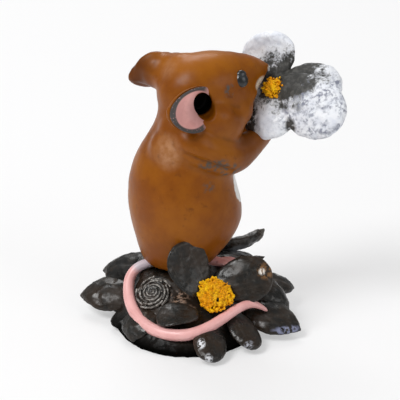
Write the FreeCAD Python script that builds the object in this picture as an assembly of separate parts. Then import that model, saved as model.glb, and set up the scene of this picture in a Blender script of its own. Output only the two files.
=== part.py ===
import FreeCAD, Part
import math
import os

from FreeCAD import Vector

# Mouse figurine in cold painted cast metal, in millimetres.
# A mouse stands upright on a heap of leaves and holds a flower to its nose.
# X runs from the mouse's back towards the flower, Y towards its left side, Z up.
# The origin is the centre of the mound's flat underside.
# Each piece is cast by itself, and its seat is cut to the piece that it stands against.
# Rounded forms are lofted through rings of points, with small flat facets between them.

UP = Vector(0, 0, 1)
FORWARD = Vector(1, 0, 0)
LEFT = Vector(0, 1, 0)

# Mound
MOUND_LENGTH = 40.0
MOUND_DEPTH = 41.0
MOUND_HEIGHT = 14.0
MOUND_SIDES = 36
# height, half length, half depth, middle along X and Y, size of the lobes
MOUND_STATION_SHARES = (
    (0.00, 0.440, 0.455, 0.015, 0.000, 0.050),
    (0.10, 0.465, 0.480, 0.015, 0.000, 0.050),
    (0.24, 0.465, 0.480, 0.015, 0.000, 0.045),
    (0.50, 0.400, 0.400, 0.000, 0.030, 0.035),
    (0.75, 0.315, 0.315, -0.040, 0.085, 0.020),
    (0.94, 0.270, 0.275, -0.055, 0.130, 0.010),
    (1.00, 0.245, 0.250, -0.060, 0.140, 0.000),
)
MOUND_LOBES = 9

# Body of the mouse, from its seat on the mound to the top of the neck
BODY_HEIGHT = 43.0
BODY_LENGTH = 28.2
BODY_WIDTH = 27.6
BODY_SIDES = 28
BODY_PLACE_SHARES = (-0.0625, 0.122)
# height, place of the middle, half length, half width, depth of the groove between the thighs
BODY_STATION_SHARES = (
    (0.000, 0.000, 0.300, 0.330, 0.00),
    (0.081, 0.028, 0.362, 0.400, 0.05),
    (0.174, 0.072, 0.440, 0.464, 0.10),
    (0.300, 0.098, 0.520, 0.500, 0.10),
    (0.426, 0.066, 0.510, 0.493, 0.05),
    (0.551, 0.045, 0.475, 0.457, 0.00),
    (0.647, 0.055, 0.445, 0.415, 0.00),
    (0.733, 0.085, 0.415, 0.385, 0.00),
    (0.814, 0.160, 0.400, 0.350, 0.00),
    (0.907, 0.200, 0.365, 0.320, 0.00),
    (1.000, 0.190, 0.325, 0.290, 0.00),
)
THIGH_GROOVE_WIDTH = math.radians(24)
BODY_PEG_DIAMETER = 7.0
BODY_PEG_LENGTH = 6.0
PEG_SIDES = 16

# Head
HEAD_LENGTH = 29.4
HEAD_HEIGHT = 19.8
HEAD_WIDTH = 19.0
HEAD_SIDES = 26
HEAD_TURN = math.radians(20)
HEAD_LIFT = math.radians(10)
HEAD_TILT = math.radians(11)
HEAD_RISE = 2.1
HEAD_BACK = 1.9
HEAD_ASIDE = 1.1
NECK_PLACE_SHARE = 0.29
# place along the head, half height, half width, rise of the middle
HEAD_STATION_SHARES = (
    (0.000, 0.000, 0.000, 0.000),
    (0.030, 0.200, 0.210, 0.000),
    (0.120, 0.364, 0.380, 0.000),
    (0.280, 0.480, 0.490, 0.000),
    (0.450, 0.500, 0.500, -0.010),
    (0.600, 0.490, 0.470, -0.045),
    (0.700, 0.425, 0.390, -0.040),
    (0.790, 0.300, 0.305, 0.015),
    (0.850, 0.235, 0.235, 0.040),
    (0.910, 0.165, 0.165, 0.050),
    (0.960, 0.100, 0.105, 0.052),
    (1.000, 0.040, 0.045, 0.050),
)

# Ears
EAR_LENGTH = 12.4
EAR_WIDTH = 12.0
EAR_THICKNESS = 1.3
EAR_CUP = 2.6
EAR_BOW = 0.8
EAR_PLACE_SHARE = 0.265
EAR_SIDE_SHARE = 0.46
EAR_RISE_SHARE = 0.08
EAR_FLARE = math.radians(24)
# how far the left ear and the right ear droop, the right one is raised
EAR_DROOPS = {1: math.radians(2), -1: math.radians(-19)}
# place along the ear, half width, cup
EAR_STATION_SHARES = (
    (0.00, 0.28, 0.7),
    (0.10, 0.38, 0.9),
    (0.30, 0.47, 1.0),
    (0.54, 0.50, 0.8),
    (0.76, 0.43, 0.5),
    (0.92, 0.26, 0.3),
    (1.00, 0.00, 0.0),
)
EAR_HOLE_DIAMETER = 4.6
EAR_HOLE_DEPTH = 2.6

# Eyes
EYE_LENGTH = 3.0
EYE_HEIGHT = 4.0
EYE_DEPTH = 2.4
EYE_PLACE_SHARE = 0.685
EYE_BEARING = math.radians(33)

# Arms and paws
ARM_DIAMETER = 10.4
# place along the arm, thickness
ARM_STATION_SHARES = (
    (0.00, 0.00),
    (0.05, 0.60),
    (0.16, 0.95),
    (0.35, 1.00),
    (0.60, 0.84),
    (0.85, 0.60),
    (1.00, 0.30),
)
SHOULDER_HEIGHT_SHARE = 0.90
SHOULDER_FORWARD_SHARE = -0.215
SHOULDER_SIDE_SHARE = 0.29
ELBOW_DROP_SHARE = 0.72
# how far the left elbow and the right elbow stand out, the right arm reaches across to the flower
ELBOW_OUT_SHARES = {1: 0.25, -1: 1.2}
PAW_LENGTH = 4.4
PAW_WIDTH = 3.4
PAW_HEIGHT = 4.4
PAW_DROP = 9.6
PAW_BACK = 1.6
FINGERS = 4
FINGER_DIAMETER = 1.1
FINGER_LENGTH = 4.0

# Hind feet
FOOT_LENGTH = 13.0
FOOT_WIDTH = 3.8
FOOT_THICKNESS = 2.4
# how far the left foot and the right foot are turned out
FOOT_SPLAYS = {1: math.radians(68), -1: math.radians(-23)}
FOOT_PLACE_SHARES = (0.13, 0.06)
TOES = 4
TOE_LENGTH = 3.0
TOE_DIAMETER = 1.2

# Tail
TAIL_DIAMETER = 3.1
TAIL_SIDES = 10
# bearing round the mound in degrees, reach and height on it, thickness
TAIL_ROUTE_SHARES = (
    (168, 0.170, 1.150, 0.76),
    (177, 0.265, 1.120, 0.80),
    (180, 0.345, 0.980, 0.86),
    (191, 0.372, 0.770, 0.93),
    (205, 0.388, 0.580, 0.98),
    (220, 0.405, 0.440, 1.00),
    (236, 0.430, 0.360, 1.00),
    (253, 0.458, 0.330, 1.00),
    (270, 0.485, 0.360, 0.98),
    (285, 0.470, 0.440, 0.94),
    (300, 0.450, 0.560, 0.88),
    (314, 0.455, 0.665, 0.80),
    (325, 0.478, 0.690, 0.70),
    (332, 0.515, 0.610, 0.52),
    (336, 0.550, 0.500, 0.26),
)

# Flower in the paws, placed from the tip of the nose
FLOWER_AHEAD = 1.0
FLOWER_ASIDE = 0.0
FLOWER_BELOW = 4.1
FLOWER_FACING = Vector(-0.45, -0.80, 0.39)
FLOWER_PETAL_THICKNESS = 2.0
# place along the petal, half width, cup
PETAL_STATION_SHARES = (
    (0.00, 0.14, 0.3),
    (0.22, 0.30, 0.7),
    (0.46, 0.45, 1.0),
    (0.70, 0.50, 1.0),
    (0.88, 0.38, 0.8),
    (0.97, 0.20, 0.4),
    (1.00, 0.00, 0.0),
)
# bearing in degrees, length, width, climb in degrees, bow, cup
FLOWER_PETALS = {
    "flower_petal_bottom": (-88, 13.8, 15.0, 10, 2.0, -1.2),
    "flower_petal_lower_right": (-26, 23.8, 16.2, 8, 2.4, -1.4),
    "flower_petal_top": (97, 14.6, 15.2, 6, -1.6, 1.2),
    "flower_petal_upper_right": (1, 18.0, 12.5, -10, 1.2, -1.0),
    "flower_petal_left": (172, 11.0, 10.0, -32, 1.0, 1.0),
}
FLOWER_EYE_DIAMETER = 5.2
FLOWER_EYE_HEIGHT = 2.4
CALYX_DIAMETER = 6.4
CALYX_HEIGHT = 3.0
STEM_DIAMETER = 2.0
STEM_TAIL = 1.4

# Flower on the mound
BASE_FLOWER_PLACE_SHARES = (-59, 0.341, 0.86)
BASE_FLOWER_FACING = Vector(0.12, -0.70, 0.70)
BASE_EYE_DIAMETER = 9.2
BASE_EYE_HEIGHT = 3.0
EYE_RINGS = 5
EYE_SIDES = 18
FLORET_SHARE = 0.10

# Petals of the flower on the mound. The root and the tip each have a bearing round the
# mound in degrees, a reach and a height on it, then follow width, thickness, bow, cup and roll.
BASE_PETAL_STATION_SHARES = (
    (0.00, 0.24, 0.3),
    (0.20, 0.40, 0.7),
    (0.44, 0.50, 1.0),
    (0.68, 0.48, 1.0),
    (0.87, 0.35, 0.8),
    (0.97, 0.17, 0.4),
    (1.00, 0.00, 0.0),
)
BASE_PETALS = {
    "base_petal_upright": ((-70, 0.300, 0.86), (-103, 0.225, 1.80), 12.6, 1.3, -0.6, 0.8, 0),
    "base_petal_right": ((-50, 0.230, 0.86), (-19, 0.580, 1.18), 13.0, 1.4, 1.4, -0.8, 33),
    "base_petal_front": ((-66, 0.340, 0.40), (-77, 0.680, 0.07), 9.4, 2.0, 1.4, -1.2, 0),
    "base_petal_front_right": ((-40, 0.340, 0.50), (-49, 0.655, 0.08), 9.0, 2.0, 1.2, -1.0, 0),
    "base_petal_left": ((-78, 0.400, 0.64), (-116, 0.430, 0.55), 6.6, 1.6, 1.4, 1.0, 0),
}

# Leaves round the mound, in the same order of values
LEAF_STATION_SHARES = (
    (0.00, 0.26, 0.6),
    (0.20, 0.42, 0.9),
    (0.46, 0.50, 1.0),
    (0.70, 0.40, 0.9),
    (0.88, 0.22, 0.6),
    (1.00, 0.00, 0.0),
)
LEAVES = {
    "leaf_left_high": ((144, 0.240, 0.90), (151, 0.620, 0.60), 12.6, 1.6, 1.0, -1.6, -32),
    "leaf_left_low": ((168, 0.290, 0.50), (167, 0.705, 0.27), 13.0, 2.0, 1.4, -1.8, -28),
    "leaf_front_left": ((-140, 0.300, 0.50), (-131, 0.515, 0.08), 13.0, 2.0, 1.6, -1.8, 0),
    "leaf_right_fold": ((0, 0.380, 0.84), (-6, 0.670, 0.20), 10.0, 1.8, 2.4, -2.0, 28),
    "leaf_right_high": ((14, 0.400, 0.66), (19, 0.740, 0.32), 10.0, 1.8, 1.2, -1.2, 16),
    "leaf_right_low": ((-20, 0.380, 0.44), (-20, 0.770, 0.12), 12.0, 2.2, 1.4, -1.2, 24),
    "leaf_curled": ((62, 0.400, 1.10), (46, 0.745, 1.14), 6.2, 2.2, -1.8, 1.6, 0),
    "leaf_pale": ((61, 0.380, 0.86), (42, 0.660, 0.56), 10.0, 1.6, 1.2, -1.4, 24),
    "leaf_spike": ((26, 0.240, 0.74), (22, 0.545, 1.00), 4.4, 1.4, 0.6, 0.6, 0),
    "leaf_back": ((88, 0.340, 0.62), (90, 0.680, 0.24), 11.0, 1.6, 1.6, -1.4, 0),
    "leaf_back_left": ((118, 0.330, 0.66), (120, 0.690, 0.30), 10.5, 1.6, 1.4, -1.4, 0),
}
BLADE_SIDES = 10

# Rosebud on the mound
ROSE_PLACE_SHARES = (-140, 0.255, 0.70)
ROSE_FACING = Vector(-0.30, -0.55, 0.78)
ROSE_DIAMETER = 9.4
ROSE_HEIGHT = 2.2
ROSE_FOLD_SHARE = 0.16
ROSE_TURNS = 2
ROSE_RINGS = 7
ROSE_SIDES = 20

# The deepest that one piece is set into another before its seat is cut
SEAT_DEPTH = 3.0

# Points that lie nearer than this are one point
SAME_PLACE = 1e-6

PARTS_FOLDER = "parts"


def unit(vector):
    return Vector(vector).normalize()


def turned(vector, axis, angle):
    return FreeCAD.Rotation(axis, math.degrees(angle)).multVec(vector)


def same_place(first, second):
    return first.isEqual(second, SAME_PLACE)


def row_at(stations, place):
    """The row of a table of stations at any place, on a smooth curve through its rows."""
    last = len(stations) - 1
    n = max(k for k in range(last) if k == 0 or stations[k][0] <= place)
    before, low, high, after = (stations[k] for k in (max(n - 1, 0), n, n + 1, min(n + 2, last)))
    span = high[0] - low[0]
    t = (place - low[0]) / span
    row = []
    for a, b, c, d in zip(before, low, high, after):
        start = (c - a) * span / (high[0] - before[0])
        end = (d - b) * span / (after[0] - low[0])
        bend = (1 - t) ** 2 * (1 + 2 * t) * b + t**2 * (3 - 2 * t) * c
        row.append(bend + t * (1 - t) ** 2 * start - t**2 * (1 - t) * end)
    return row


def rows_between(stations, steps):
    """The rows of a table with steps - 1 more rows between each two of them."""
    rows = []
    for low, high in zip(stations, stations[1:]):
        for step in range(steps):
            rows.append(row_at(stations, low[0] + (high[0] - low[0]) * step / steps))
    return rows + [list(stations[-1])]


def facets(corners):
    """Flat faces over four corners, of which two may fall together."""
    points = [point for n, point in enumerate(corners) if not same_place(point, corners[n - 1])]
    if len(points) < 3:
        return []
    if len(points) == 4:
        a, b, c, d = points
        return [Part.Face(Part.makePolygon([a, b, c, a])), Part.Face(Part.makePolygon([a, c, d, a]))]
    return [Part.Face(Part.makePolygon(points + points[:1]))]


def faceted(rings):
    """A solid through closed rings of points, flat at an end whose ring is open."""
    faces = []
    for low, high in zip(rings, rings[1:]):
        for n in range(len(low)):
            faces.extend(facets([low[n - 1], low[n], high[n], high[n - 1]]))
    for ring in (rings[0], rings[-1]):
        if not same_place(ring[0], ring[1]):
            faces.append(Part.Face(Part.makePolygon(ring + ring[:1])))
    solid = Part.makeSolid(Part.makeShell(faces))
    if solid.Volume < 0:
        solid.reverse()
    return solid


def ring(middle, side, rise, half_side, half_rise, sides, reach_at=None):
    """Points round an oval. reach_at gives the reach at an angle, 1 on a plain oval."""
    points = []
    for n in range(sides):
        angle = 2 * math.pi * n / sides
        reach = reach_at(angle) if reach_at else 1
        across = side * (half_side * reach * math.cos(angle))
        points.append(middle + across + rise * (half_rise * reach * math.sin(angle)))
    return points


def bead(middle, ahead, left, length, width, height, sides, rings):
    """An oval ball with its length along ahead."""
    up = ahead.cross(left)
    loops = []
    for n in range(rings + 1):
        angle = math.pi * n / rings
        centre = middle - ahead * (length / 2 * math.cos(angle))
        reach = math.sin(angle) if 0 < n < rings else 0
        loops.append(ring(centre, left, up, width / 2 * reach, height / 2 * reach, sides))
    return faceted(loops)


def rod(points, diameters, sides, first_side=UP):
    """A tapered round rod along points."""
    loops = []
    side = first_side
    for n, (point, diameter) in enumerate(zip(points, diameters)):
        tangent = unit(points[min(n + 1, len(points) - 1)] - points[max(n - 1, 0)])
        side = unit(side - tangent * side.dot(tangent))
        loops.append(ring(point, side, tangent.cross(side), diameter / 2, diameter / 2, sides))
    return faceted(loops)


def bend_point(start, middle, end, t):
    return start * (1 - t) ** 2 + middle * (2 * t * (1 - t)) + end * t**2


def blade(root, tip, facing, width, thickness, bow, cup, stations, roll=0):
    """A leaf, petal or ear from root to tip. It is bowed along its length, its sides are cupped."""
    ahead = unit(tip - root)
    facing = unit(facing - ahead * facing.dot(ahead))
    facing = turned(facing, ahead, roll)
    middle = (root + tip) / 2 + facing * (bow * 2)
    loops = []
    for place, half_share, cup_share in stations:
        tangent = unit((middle - root) * (1 - place) + (tip - middle) * place)
        side = facing.cross(tangent)
        normal = tangent.cross(side)
        skin = thickness / 2 * min(1, half_share / stations[0][1])
        points = []
        for n in range(BLADE_SIDES):
            angle = 2 * math.pi * n / BLADE_SIDES
            across = math.cos(angle)
            lift = cup * cup_share * across**2 + skin * math.sin(angle)
            place_on_ring = side * (width * half_share * across) + normal * lift
            points.append(bend_point(root, middle, tip, place) + place_on_ring)
        loops.append(points)
    return faceted(loops)


def cap(centre, facing, diameter, height, depth, rings, sides, bump_at):
    """A low round cap with a rim of a depth. bump_at gives the reach at a ring and a side."""
    facing = unit(facing)
    side = unit(FORWARD - facing * FORWARD.dot(facing))
    rise = facing.cross(side)
    loops = [ring(centre - facing * depth, side, rise, diameter / 2, diameter / 2, sides)]
    for n in range(rings + 1):
        angle = math.pi / 2 * n / rings
        reach = math.cos(angle) if n < rings else 0
        level = math.sin(angle)
        points = []
        for k, rim in enumerate(ring(Vector(), side, rise, diameter / 2, diameter / 2, sides)):
            bump = bump_at(n, k) if 0 < n < rings else 1
            points.append(centre + rim * (reach * bump) + facing * (height * level * bump))
        loops.append(points)
    return faceted(loops)


def biggest_solid(shape):
    return max(shape.Solids, key=lambda solid: solid.Volume)


def seated(piece, *neighbours):
    """The piece trimmed where it meets its neighbours, so that it seats on them face to face."""
    near = [other for other in neighbours if other.BoundBox.intersect(piece.BoundBox)]
    if not near:
        return piece
    return biggest_solid(piece.cut(near))


def mound_place(bearing, reach, height):
    """A place by its bearing round the mound in degrees and its shares of the mound's size."""
    angle = math.radians(bearing)
    return Vector(
        MOUND_LENGTH * reach * math.cos(angle),
        MOUND_DEPTH * reach * math.sin(angle),
        MOUND_HEIGHT * height,
    )


def mound_blank():
    loops = []
    for height, half_length, half_depth, ahead, aside, lobe in MOUND_STATION_SHARES:
        middle = Vector(ahead * MOUND_LENGTH, aside * MOUND_DEPTH, height * MOUND_HEIGHT)
        half_sizes = half_length * MOUND_LENGTH, half_depth * MOUND_DEPTH

        def reach_at(angle):
            return 1 + lobe * math.cos(MOUND_LOBES * angle)

        loops.append(ring(middle, FORWARD, LEFT, *half_sizes, MOUND_SIDES, reach_at))
    return faceted(loops)


def body_seat():
    return Vector(BODY_PLACE_SHARES[0] * MOUND_LENGTH, BODY_PLACE_SHARES[1] * MOUND_DEPTH, MOUND_HEIGHT)


def body_middle(row):
    return body_seat() + FORWARD * (row[1] * BODY_LENGTH) + UP * (row[0] * BODY_HEIGHT)


def body_casting():
    """The body with the peg under it that drops into the mound."""
    loops = []
    for row in rows_between(BODY_STATION_SHARES, 2):

        def reach_at(angle):
            off_front = math.remainder(angle, 2 * math.pi) / THIGH_GROOVE_WIDTH
            return 1 - row[4] * math.exp(-(off_front**2))

        half_sizes = row[2] * BODY_LENGTH, row[3] * BODY_WIDTH
        loops.append(ring(body_middle(row), FORWARD, LEFT, *half_sizes, BODY_SIDES, reach_at))
    ends = body_seat() - UP * BODY_PEG_LENGTH, body_seat()
    peg = rod(ends, [BODY_PEG_DIAMETER] * 2, PEG_SIDES, FORWARD)
    return biggest_solid(faceted(loops).fuse(peg))


def head_axes():
    """Ahead, left and up of the turned, lifted and tilted head."""
    turn = FreeCAD.Rotation(UP, math.degrees(HEAD_TURN))
    ahead = turn.multVec(Vector(math.cos(HEAD_LIFT), 0, math.sin(HEAD_LIFT)))
    left = turned(turn.multVec(LEFT), ahead, HEAD_TILT)
    return ahead, left, ahead.cross(left)


def head_point(place, aside, rise):
    """A point of the head: place as a share of its length, aside and rise from its axis."""
    ahead, left, up = head_axes()
    pivot = body_middle(BODY_STATION_SHARES[-1]) + Vector(-HEAD_BACK, HEAD_ASIDE, HEAD_RISE)
    return pivot + ahead * ((place - NECK_PLACE_SHARE) * HEAD_LENGTH) + left * aside + up * rise


def head_blank():
    ahead, left, up = head_axes()
    loops = []
    for place, half_height, half_width, rise in HEAD_STATION_SHARES:
        middle = head_point(place, 0, rise * HEAD_HEIGHT)
        loops.append(ring(middle, left, up, half_width * HEAD_WIDTH, half_height * HEAD_HEIGHT, HEAD_SIDES))
    return faceted(loops)


def ear_root(hand):
    """The middle of the ear hole: hand is 1 on the left and -1 on the right."""
    return head_point(EAR_PLACE_SHARE, hand * EAR_SIDE_SHARE * HEAD_WIDTH, EAR_RISE_SHARE * HEAD_HEIGHT)


def ear_blank(hand):
    ahead, left, up = head_axes()
    root = ear_root(hand)
    back = turned(-ahead, up, -hand * EAR_FLARE)
    back = turned(back, left, -EAR_DROOPS[hand])
    facing = turned(left * hand, up, -hand * EAR_FLARE)
    root -= back * (EAR_HOLE_DIAMETER / 4)
    tip = root + back * EAR_LENGTH
    return blade(root, tip, facing, EAR_WIDTH, EAR_THICKNESS, -EAR_BOW, EAR_CUP, EAR_STATION_SHARES)


def ear_pit(hand):
    """The hole in the head, which runs out past the ear so that the ear opens round it."""
    ahead, left, up = head_axes()
    ends = ear_root(hand) + left * (hand * EAR_WIDTH / 2), ear_root(hand) - left * (hand * EAR_HOLE_DEPTH)
    return rod(ends, [EAR_HOLE_DIAMETER] * 2, PEG_SIDES, ahead)


def eye_bead(hand):
    ahead, left, up = head_axes()
    place, half_height, half_width, rise = row_at(HEAD_STATION_SHARES, EYE_PLACE_SHARE)
    aside = hand * half_width * HEAD_WIDTH * math.cos(EYE_BEARING)
    above = (rise + half_height * math.sin(EYE_BEARING)) * HEAD_HEIGHT
    outward = unit(left * (hand * math.cos(EYE_BEARING)) + up * math.sin(EYE_BEARING))
    centre = head_point(EYE_PLACE_SHARE, aside, above)
    return bead(centre, outward, ahead, EYE_DEPTH, EYE_LENGTH, EYE_HEIGHT, PEG_SIDES, 6)


def flower_axes(facing):
    facing = unit(facing)
    right = unit(FORWARD - facing * FORWARD.dot(facing))
    return facing, right, facing.cross(right)


def flower_centre():
    return head_point(1, 0, 0) + Vector(FLOWER_AHEAD, FLOWER_ASIDE, -FLOWER_BELOW)


def flower_petal(row):
    bearing, length, width, climb, bow, cup = row
    facing, right, top = flower_axes(FLOWER_FACING)
    angle, slope = math.radians(bearing), math.radians(climb)
    ahead = right * math.cos(angle) + top * math.sin(angle)
    root = flower_centre() - facing * (FLOWER_PETAL_THICKNESS / 2)
    tip = root + (ahead * math.cos(slope) + facing * math.sin(slope)) * length
    return blade(root, tip, facing, width, FLOWER_PETAL_THICKNESS, bow, cup, PETAL_STATION_SHARES)


def leaf_blade(row, stations):
    root, tip, width, thickness, bow, cup, roll = row
    root, tip = mound_place(*root), mound_place(*tip)
    outward = unit(Vector(tip.x + root.x, tip.y + root.y, MOUND_LENGTH))
    return blade(root, tip, outward, width, thickness, bow, cup, stations, math.radians(roll))


def floret_bump(n, k):
    return 1 + FLORET_SHARE * (1 if (n + k) % 2 else -1)


def rose_bump(n, k):
    turn = ROSE_TURNS * n / ROSE_RINGS + k / ROSE_SIDES
    return 1 + ROSE_FOLD_SHARE * (turn % 1 - 0.5)


def calyx():
    """The cup behind the flower that carries its petals and runs down into the stem."""
    facing, right, top = flower_axes(FLOWER_FACING)
    back = flower_centre() - facing * FLOWER_PETAL_THICKNESS
    ends = back + facing * FLOWER_PETAL_THICKNESS, back, back - facing * CALYX_HEIGHT
    return rod(ends, [CALYX_DIAMETER, CALYX_DIAMETER, STEM_DIAMETER], PEG_SIDES, right)


def grip_point():
    """The middle of the stem between the two paws."""
    facing, right, top = flower_axes(FLOWER_FACING)
    back = flower_centre() - facing * (FLOWER_PETAL_THICKNESS + CALYX_HEIGHT)
    return back - UP * PAW_DROP - FORWARD * PAW_BACK


def stem():
    facing, right, top = flower_axes(FLOWER_FACING)
    start = flower_centre() - facing * FLOWER_PETAL_THICKNESS
    end = grip_point() - UP * (PAW_HEIGHT / 2 + STEM_TAIL)
    bend = start - facing * (CALYX_HEIGHT * 2)
    steps = 6
    points = [bend_point(start, bend, end, n / steps) for n in range(steps + 1)]
    return rod(points, [STEM_DIAMETER] * (steps + 1), BLADE_SIDES, right)


def paw_centre(hand):
    return grip_point() + LEFT * (hand * PAW_WIDTH / 2)


def paw(hand):
    """A palm against the stem with fingers closed round its front."""
    centre = paw_centre(hand)
    palm = bead(centre, FORWARD, LEFT, PAW_LENGTH, PAW_WIDTH, PAW_HEIGHT, PEG_SIDES, 8)
    fingers = []
    pitch = PAW_HEIGHT * 0.8 / FINGERS
    for n in range(FINGERS):
        level = UP * ((n - (FINGERS - 1) / 2) * pitch)
        start = centre + level
        knuckle = start + FORWARD * (FINGER_LENGTH * 1.2) + LEFT * (hand * FINGER_DIAMETER)
        end = start + FORWARD * (FINGER_LENGTH / 2) - LEFT * (hand * PAW_WIDTH / 2)
        points = [bend_point(start, knuckle, end, k / 4) for k in range(5)]
        fingers.append(rod(points, [FINGER_DIAMETER] * 5, 6))
    return biggest_solid(palm.fuse(fingers))


def arm_blank(hand):
    seat = body_middle(row_at(BODY_STATION_SHARES, SHOULDER_HEIGHT_SHARE))
    shoulder = seat + FORWARD * (SHOULDER_FORWARD_SHARE * BODY_LENGTH)
    shoulder += LEFT * (hand * SHOULDER_SIDE_SHARE * BODY_WIDTH)
    wrist = paw_centre(hand)
    bend = (shoulder + wrist) / 2 - UP * (ELBOW_DROP_SHARE * ARM_DIAMETER)
    bend += LEFT * (hand * ELBOW_OUT_SHARES[hand] * ARM_DIAMETER)
    rows = rows_between(ARM_STATION_SHARES, 2)
    points = [bend_point(shoulder, bend, wrist, row[0]) for row in rows]
    return rod(points, [row[1] * ARM_DIAMETER for row in rows], PEG_SIDES)


def foot(hand):
    """A long flat hind foot with its toes, turned out from the heel under the body."""
    ahead = turned(FORWARD, UP, FOOT_SPLAYS[hand])
    aside = UP.cross(ahead)
    heel = body_seat() + FORWARD * (FOOT_PLACE_SHARES[0] * BODY_LENGTH)
    heel += LEFT * (hand * FOOT_PLACE_SHARES[1] * BODY_WIDTH) + UP * (FOOT_THICKNESS / 2)
    sole_length = FOOT_LENGTH - TOE_LENGTH / 2
    sole = bead(heel + ahead * (sole_length / 2), ahead, aside, sole_length, FOOT_WIDTH, FOOT_THICKNESS, 12, 8)
    toes = []
    for n in range(TOES):
        spread = (n - (TOES - 1) / 2) / TOES
        start = heel + ahead * (FOOT_LENGTH - TOE_LENGTH * 1.5) + aside * (spread * FOOT_WIDTH)
        end = start + turned(ahead, UP, spread) * (TOE_LENGTH * 1.5)
        middle = (start + end) / 2 + UP * (TOE_DIAMETER / 2)
        points = [bend_point(start, middle, end, k / 3) for k in range(4)]
        toes.append(rod(points, [TOE_DIAMETER, TOE_DIAMETER, TOE_DIAMETER, TOE_DIAMETER / 2], 6))
    return biggest_solid(sole.fuse(toes))


def tail_blank():
    last = len(TAIL_ROUTE_SHARES) - 1
    route = [(n / last,) + row for n, row in enumerate(TAIL_ROUTE_SHARES)]
    rows = rows_between(route, 2)
    points = [mound_place(*row[1:4]) for row in rows]
    return rod(points, [row[4] * TAIL_DIAMETER for row in rows], TAIL_SIDES)


def main():
    made = {}

    # Mouse
    made["mouse_body"] = body_casting()
    eyes = {"right_eye": eye_bead(-1), "left_eye": eye_bead(1)}
    made["mouse_head"] = seated(head_blank(), made["mouse_body"], ear_pit(1), ear_pit(-1), *eyes.values())
    made.update(eyes)
    mouse = [made["mouse_body"], made["mouse_head"]]
    made["right_ear"] = seated(ear_blank(-1), ear_pit(-1), *mouse)
    made["left_ear"] = seated(ear_blank(1), ear_pit(1), *mouse)
    made["base_mound"] = seated(mound_blank(), made["mouse_body"])
    ground = [made["base_mound"], made["mouse_body"]]
    made["tail"] = seated(tail_blank(), *ground)

    # Flower in the paws
    eye = cap(
        flower_centre(),
        FLOWER_FACING,
        FLOWER_EYE_DIAMETER,
        FLOWER_EYE_HEIGHT,
        FLOWER_PETAL_THICKNESS / 2,
        EYE_RINGS,
        EYE_SIDES,
        floret_bump,
    )
    made["flower_eye"] = seated(eye, *mouse)
    made["flower_calyx"] = seated(calyx(), made["flower_eye"], *mouse)
    made["flower_stem"] = seated(stem(), made["flower_calyx"], made["flower_eye"], *mouse)
    held = mouse + [made["flower_eye"], made["flower_calyx"], made["flower_stem"]]
    for name, row in FLOWER_PETALS.items():
        made[name] = seated(flower_petal(row), *held)
        held.append(made[name])
    for hand, side in ((-1, "right"), (1, "left")):
        made[side + "_paw"] = seated(paw(hand), *held)
        held.append(made[side + "_paw"])
    held += [made["right_ear"], made["left_ear"]]
    for hand, side in ((-1, "right"), (1, "left")):
        made[side + "_arm"] = seated(arm_blank(hand), *held)
        held.append(made[side + "_arm"])

    # Flower, rosebud, feet and leaves on the mound
    ground.append(made["tail"])
    made["base_flower_eye"] = seated(
        cap(
            mound_place(*BASE_FLOWER_PLACE_SHARES),
            BASE_FLOWER_FACING,
            BASE_EYE_DIAMETER,
            BASE_EYE_HEIGHT,
            SEAT_DEPTH,
            EYE_RINGS,
            EYE_SIDES,
            floret_bump,
        ),
        *ground,
    )
    ground.append(made["base_flower_eye"])
    made["rosebud"] = seated(
        cap(
            mound_place(*ROSE_PLACE_SHARES),
            ROSE_FACING,
            ROSE_DIAMETER,
            ROSE_HEIGHT,
            SEAT_DEPTH,
            ROSE_RINGS,
            ROSE_SIDES,
            rose_bump,
        ),
        *ground,
    )
    ground.append(made["rosebud"])
    for name, row in BASE_PETALS.items():
        made[name] = seated(leaf_blade(row, BASE_PETAL_STATION_SHARES), *ground)
        ground.append(made[name])
    for hand, side in ((-1, "right"), (1, "left")):
        made[side + "_foot"] = seated(foot(hand), *ground)
        ground.append(made[side + "_foot"])
    for name, row in LEAVES.items():
        made[name] = seated(leaf_blade(row, LEAF_STATION_SHARES), *ground)
        ground.append(made[name])

    os.makedirs(PARTS_FOLDER, exist_ok=True)
    for name, shape in made.items():
        shape.exportStep(os.path.join(PARTS_FOLDER, name + ".step"))


main()
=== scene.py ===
# A mouse that stands on a heap of leaves and petals and smells the flower in its paws:
# a small figurine, cast in pieces and painted by hand. Its measures are given in millimetres,
# and MM turns them into Blender's metres. The studio's lamps and floor are given in metres.

import math
import random

import bpy
from mathutils import Matrix, Vector
from mathutils.kdtree import KDTree


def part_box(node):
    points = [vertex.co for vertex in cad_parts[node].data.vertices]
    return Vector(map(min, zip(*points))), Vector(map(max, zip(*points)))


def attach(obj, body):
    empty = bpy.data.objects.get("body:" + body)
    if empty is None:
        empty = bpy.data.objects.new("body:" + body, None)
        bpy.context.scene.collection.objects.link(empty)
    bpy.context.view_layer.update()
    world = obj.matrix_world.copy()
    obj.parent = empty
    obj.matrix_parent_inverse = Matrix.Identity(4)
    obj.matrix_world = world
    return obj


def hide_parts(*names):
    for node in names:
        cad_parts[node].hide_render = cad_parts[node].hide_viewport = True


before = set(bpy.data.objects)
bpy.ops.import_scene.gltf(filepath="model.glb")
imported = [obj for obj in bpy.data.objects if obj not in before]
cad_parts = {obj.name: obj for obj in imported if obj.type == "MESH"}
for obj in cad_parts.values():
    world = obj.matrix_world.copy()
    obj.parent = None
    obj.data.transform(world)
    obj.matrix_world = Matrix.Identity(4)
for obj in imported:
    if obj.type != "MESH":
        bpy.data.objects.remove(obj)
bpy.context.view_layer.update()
bpy.ops.object.select_all(action="DESELECT")

MM = 0.001

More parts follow.
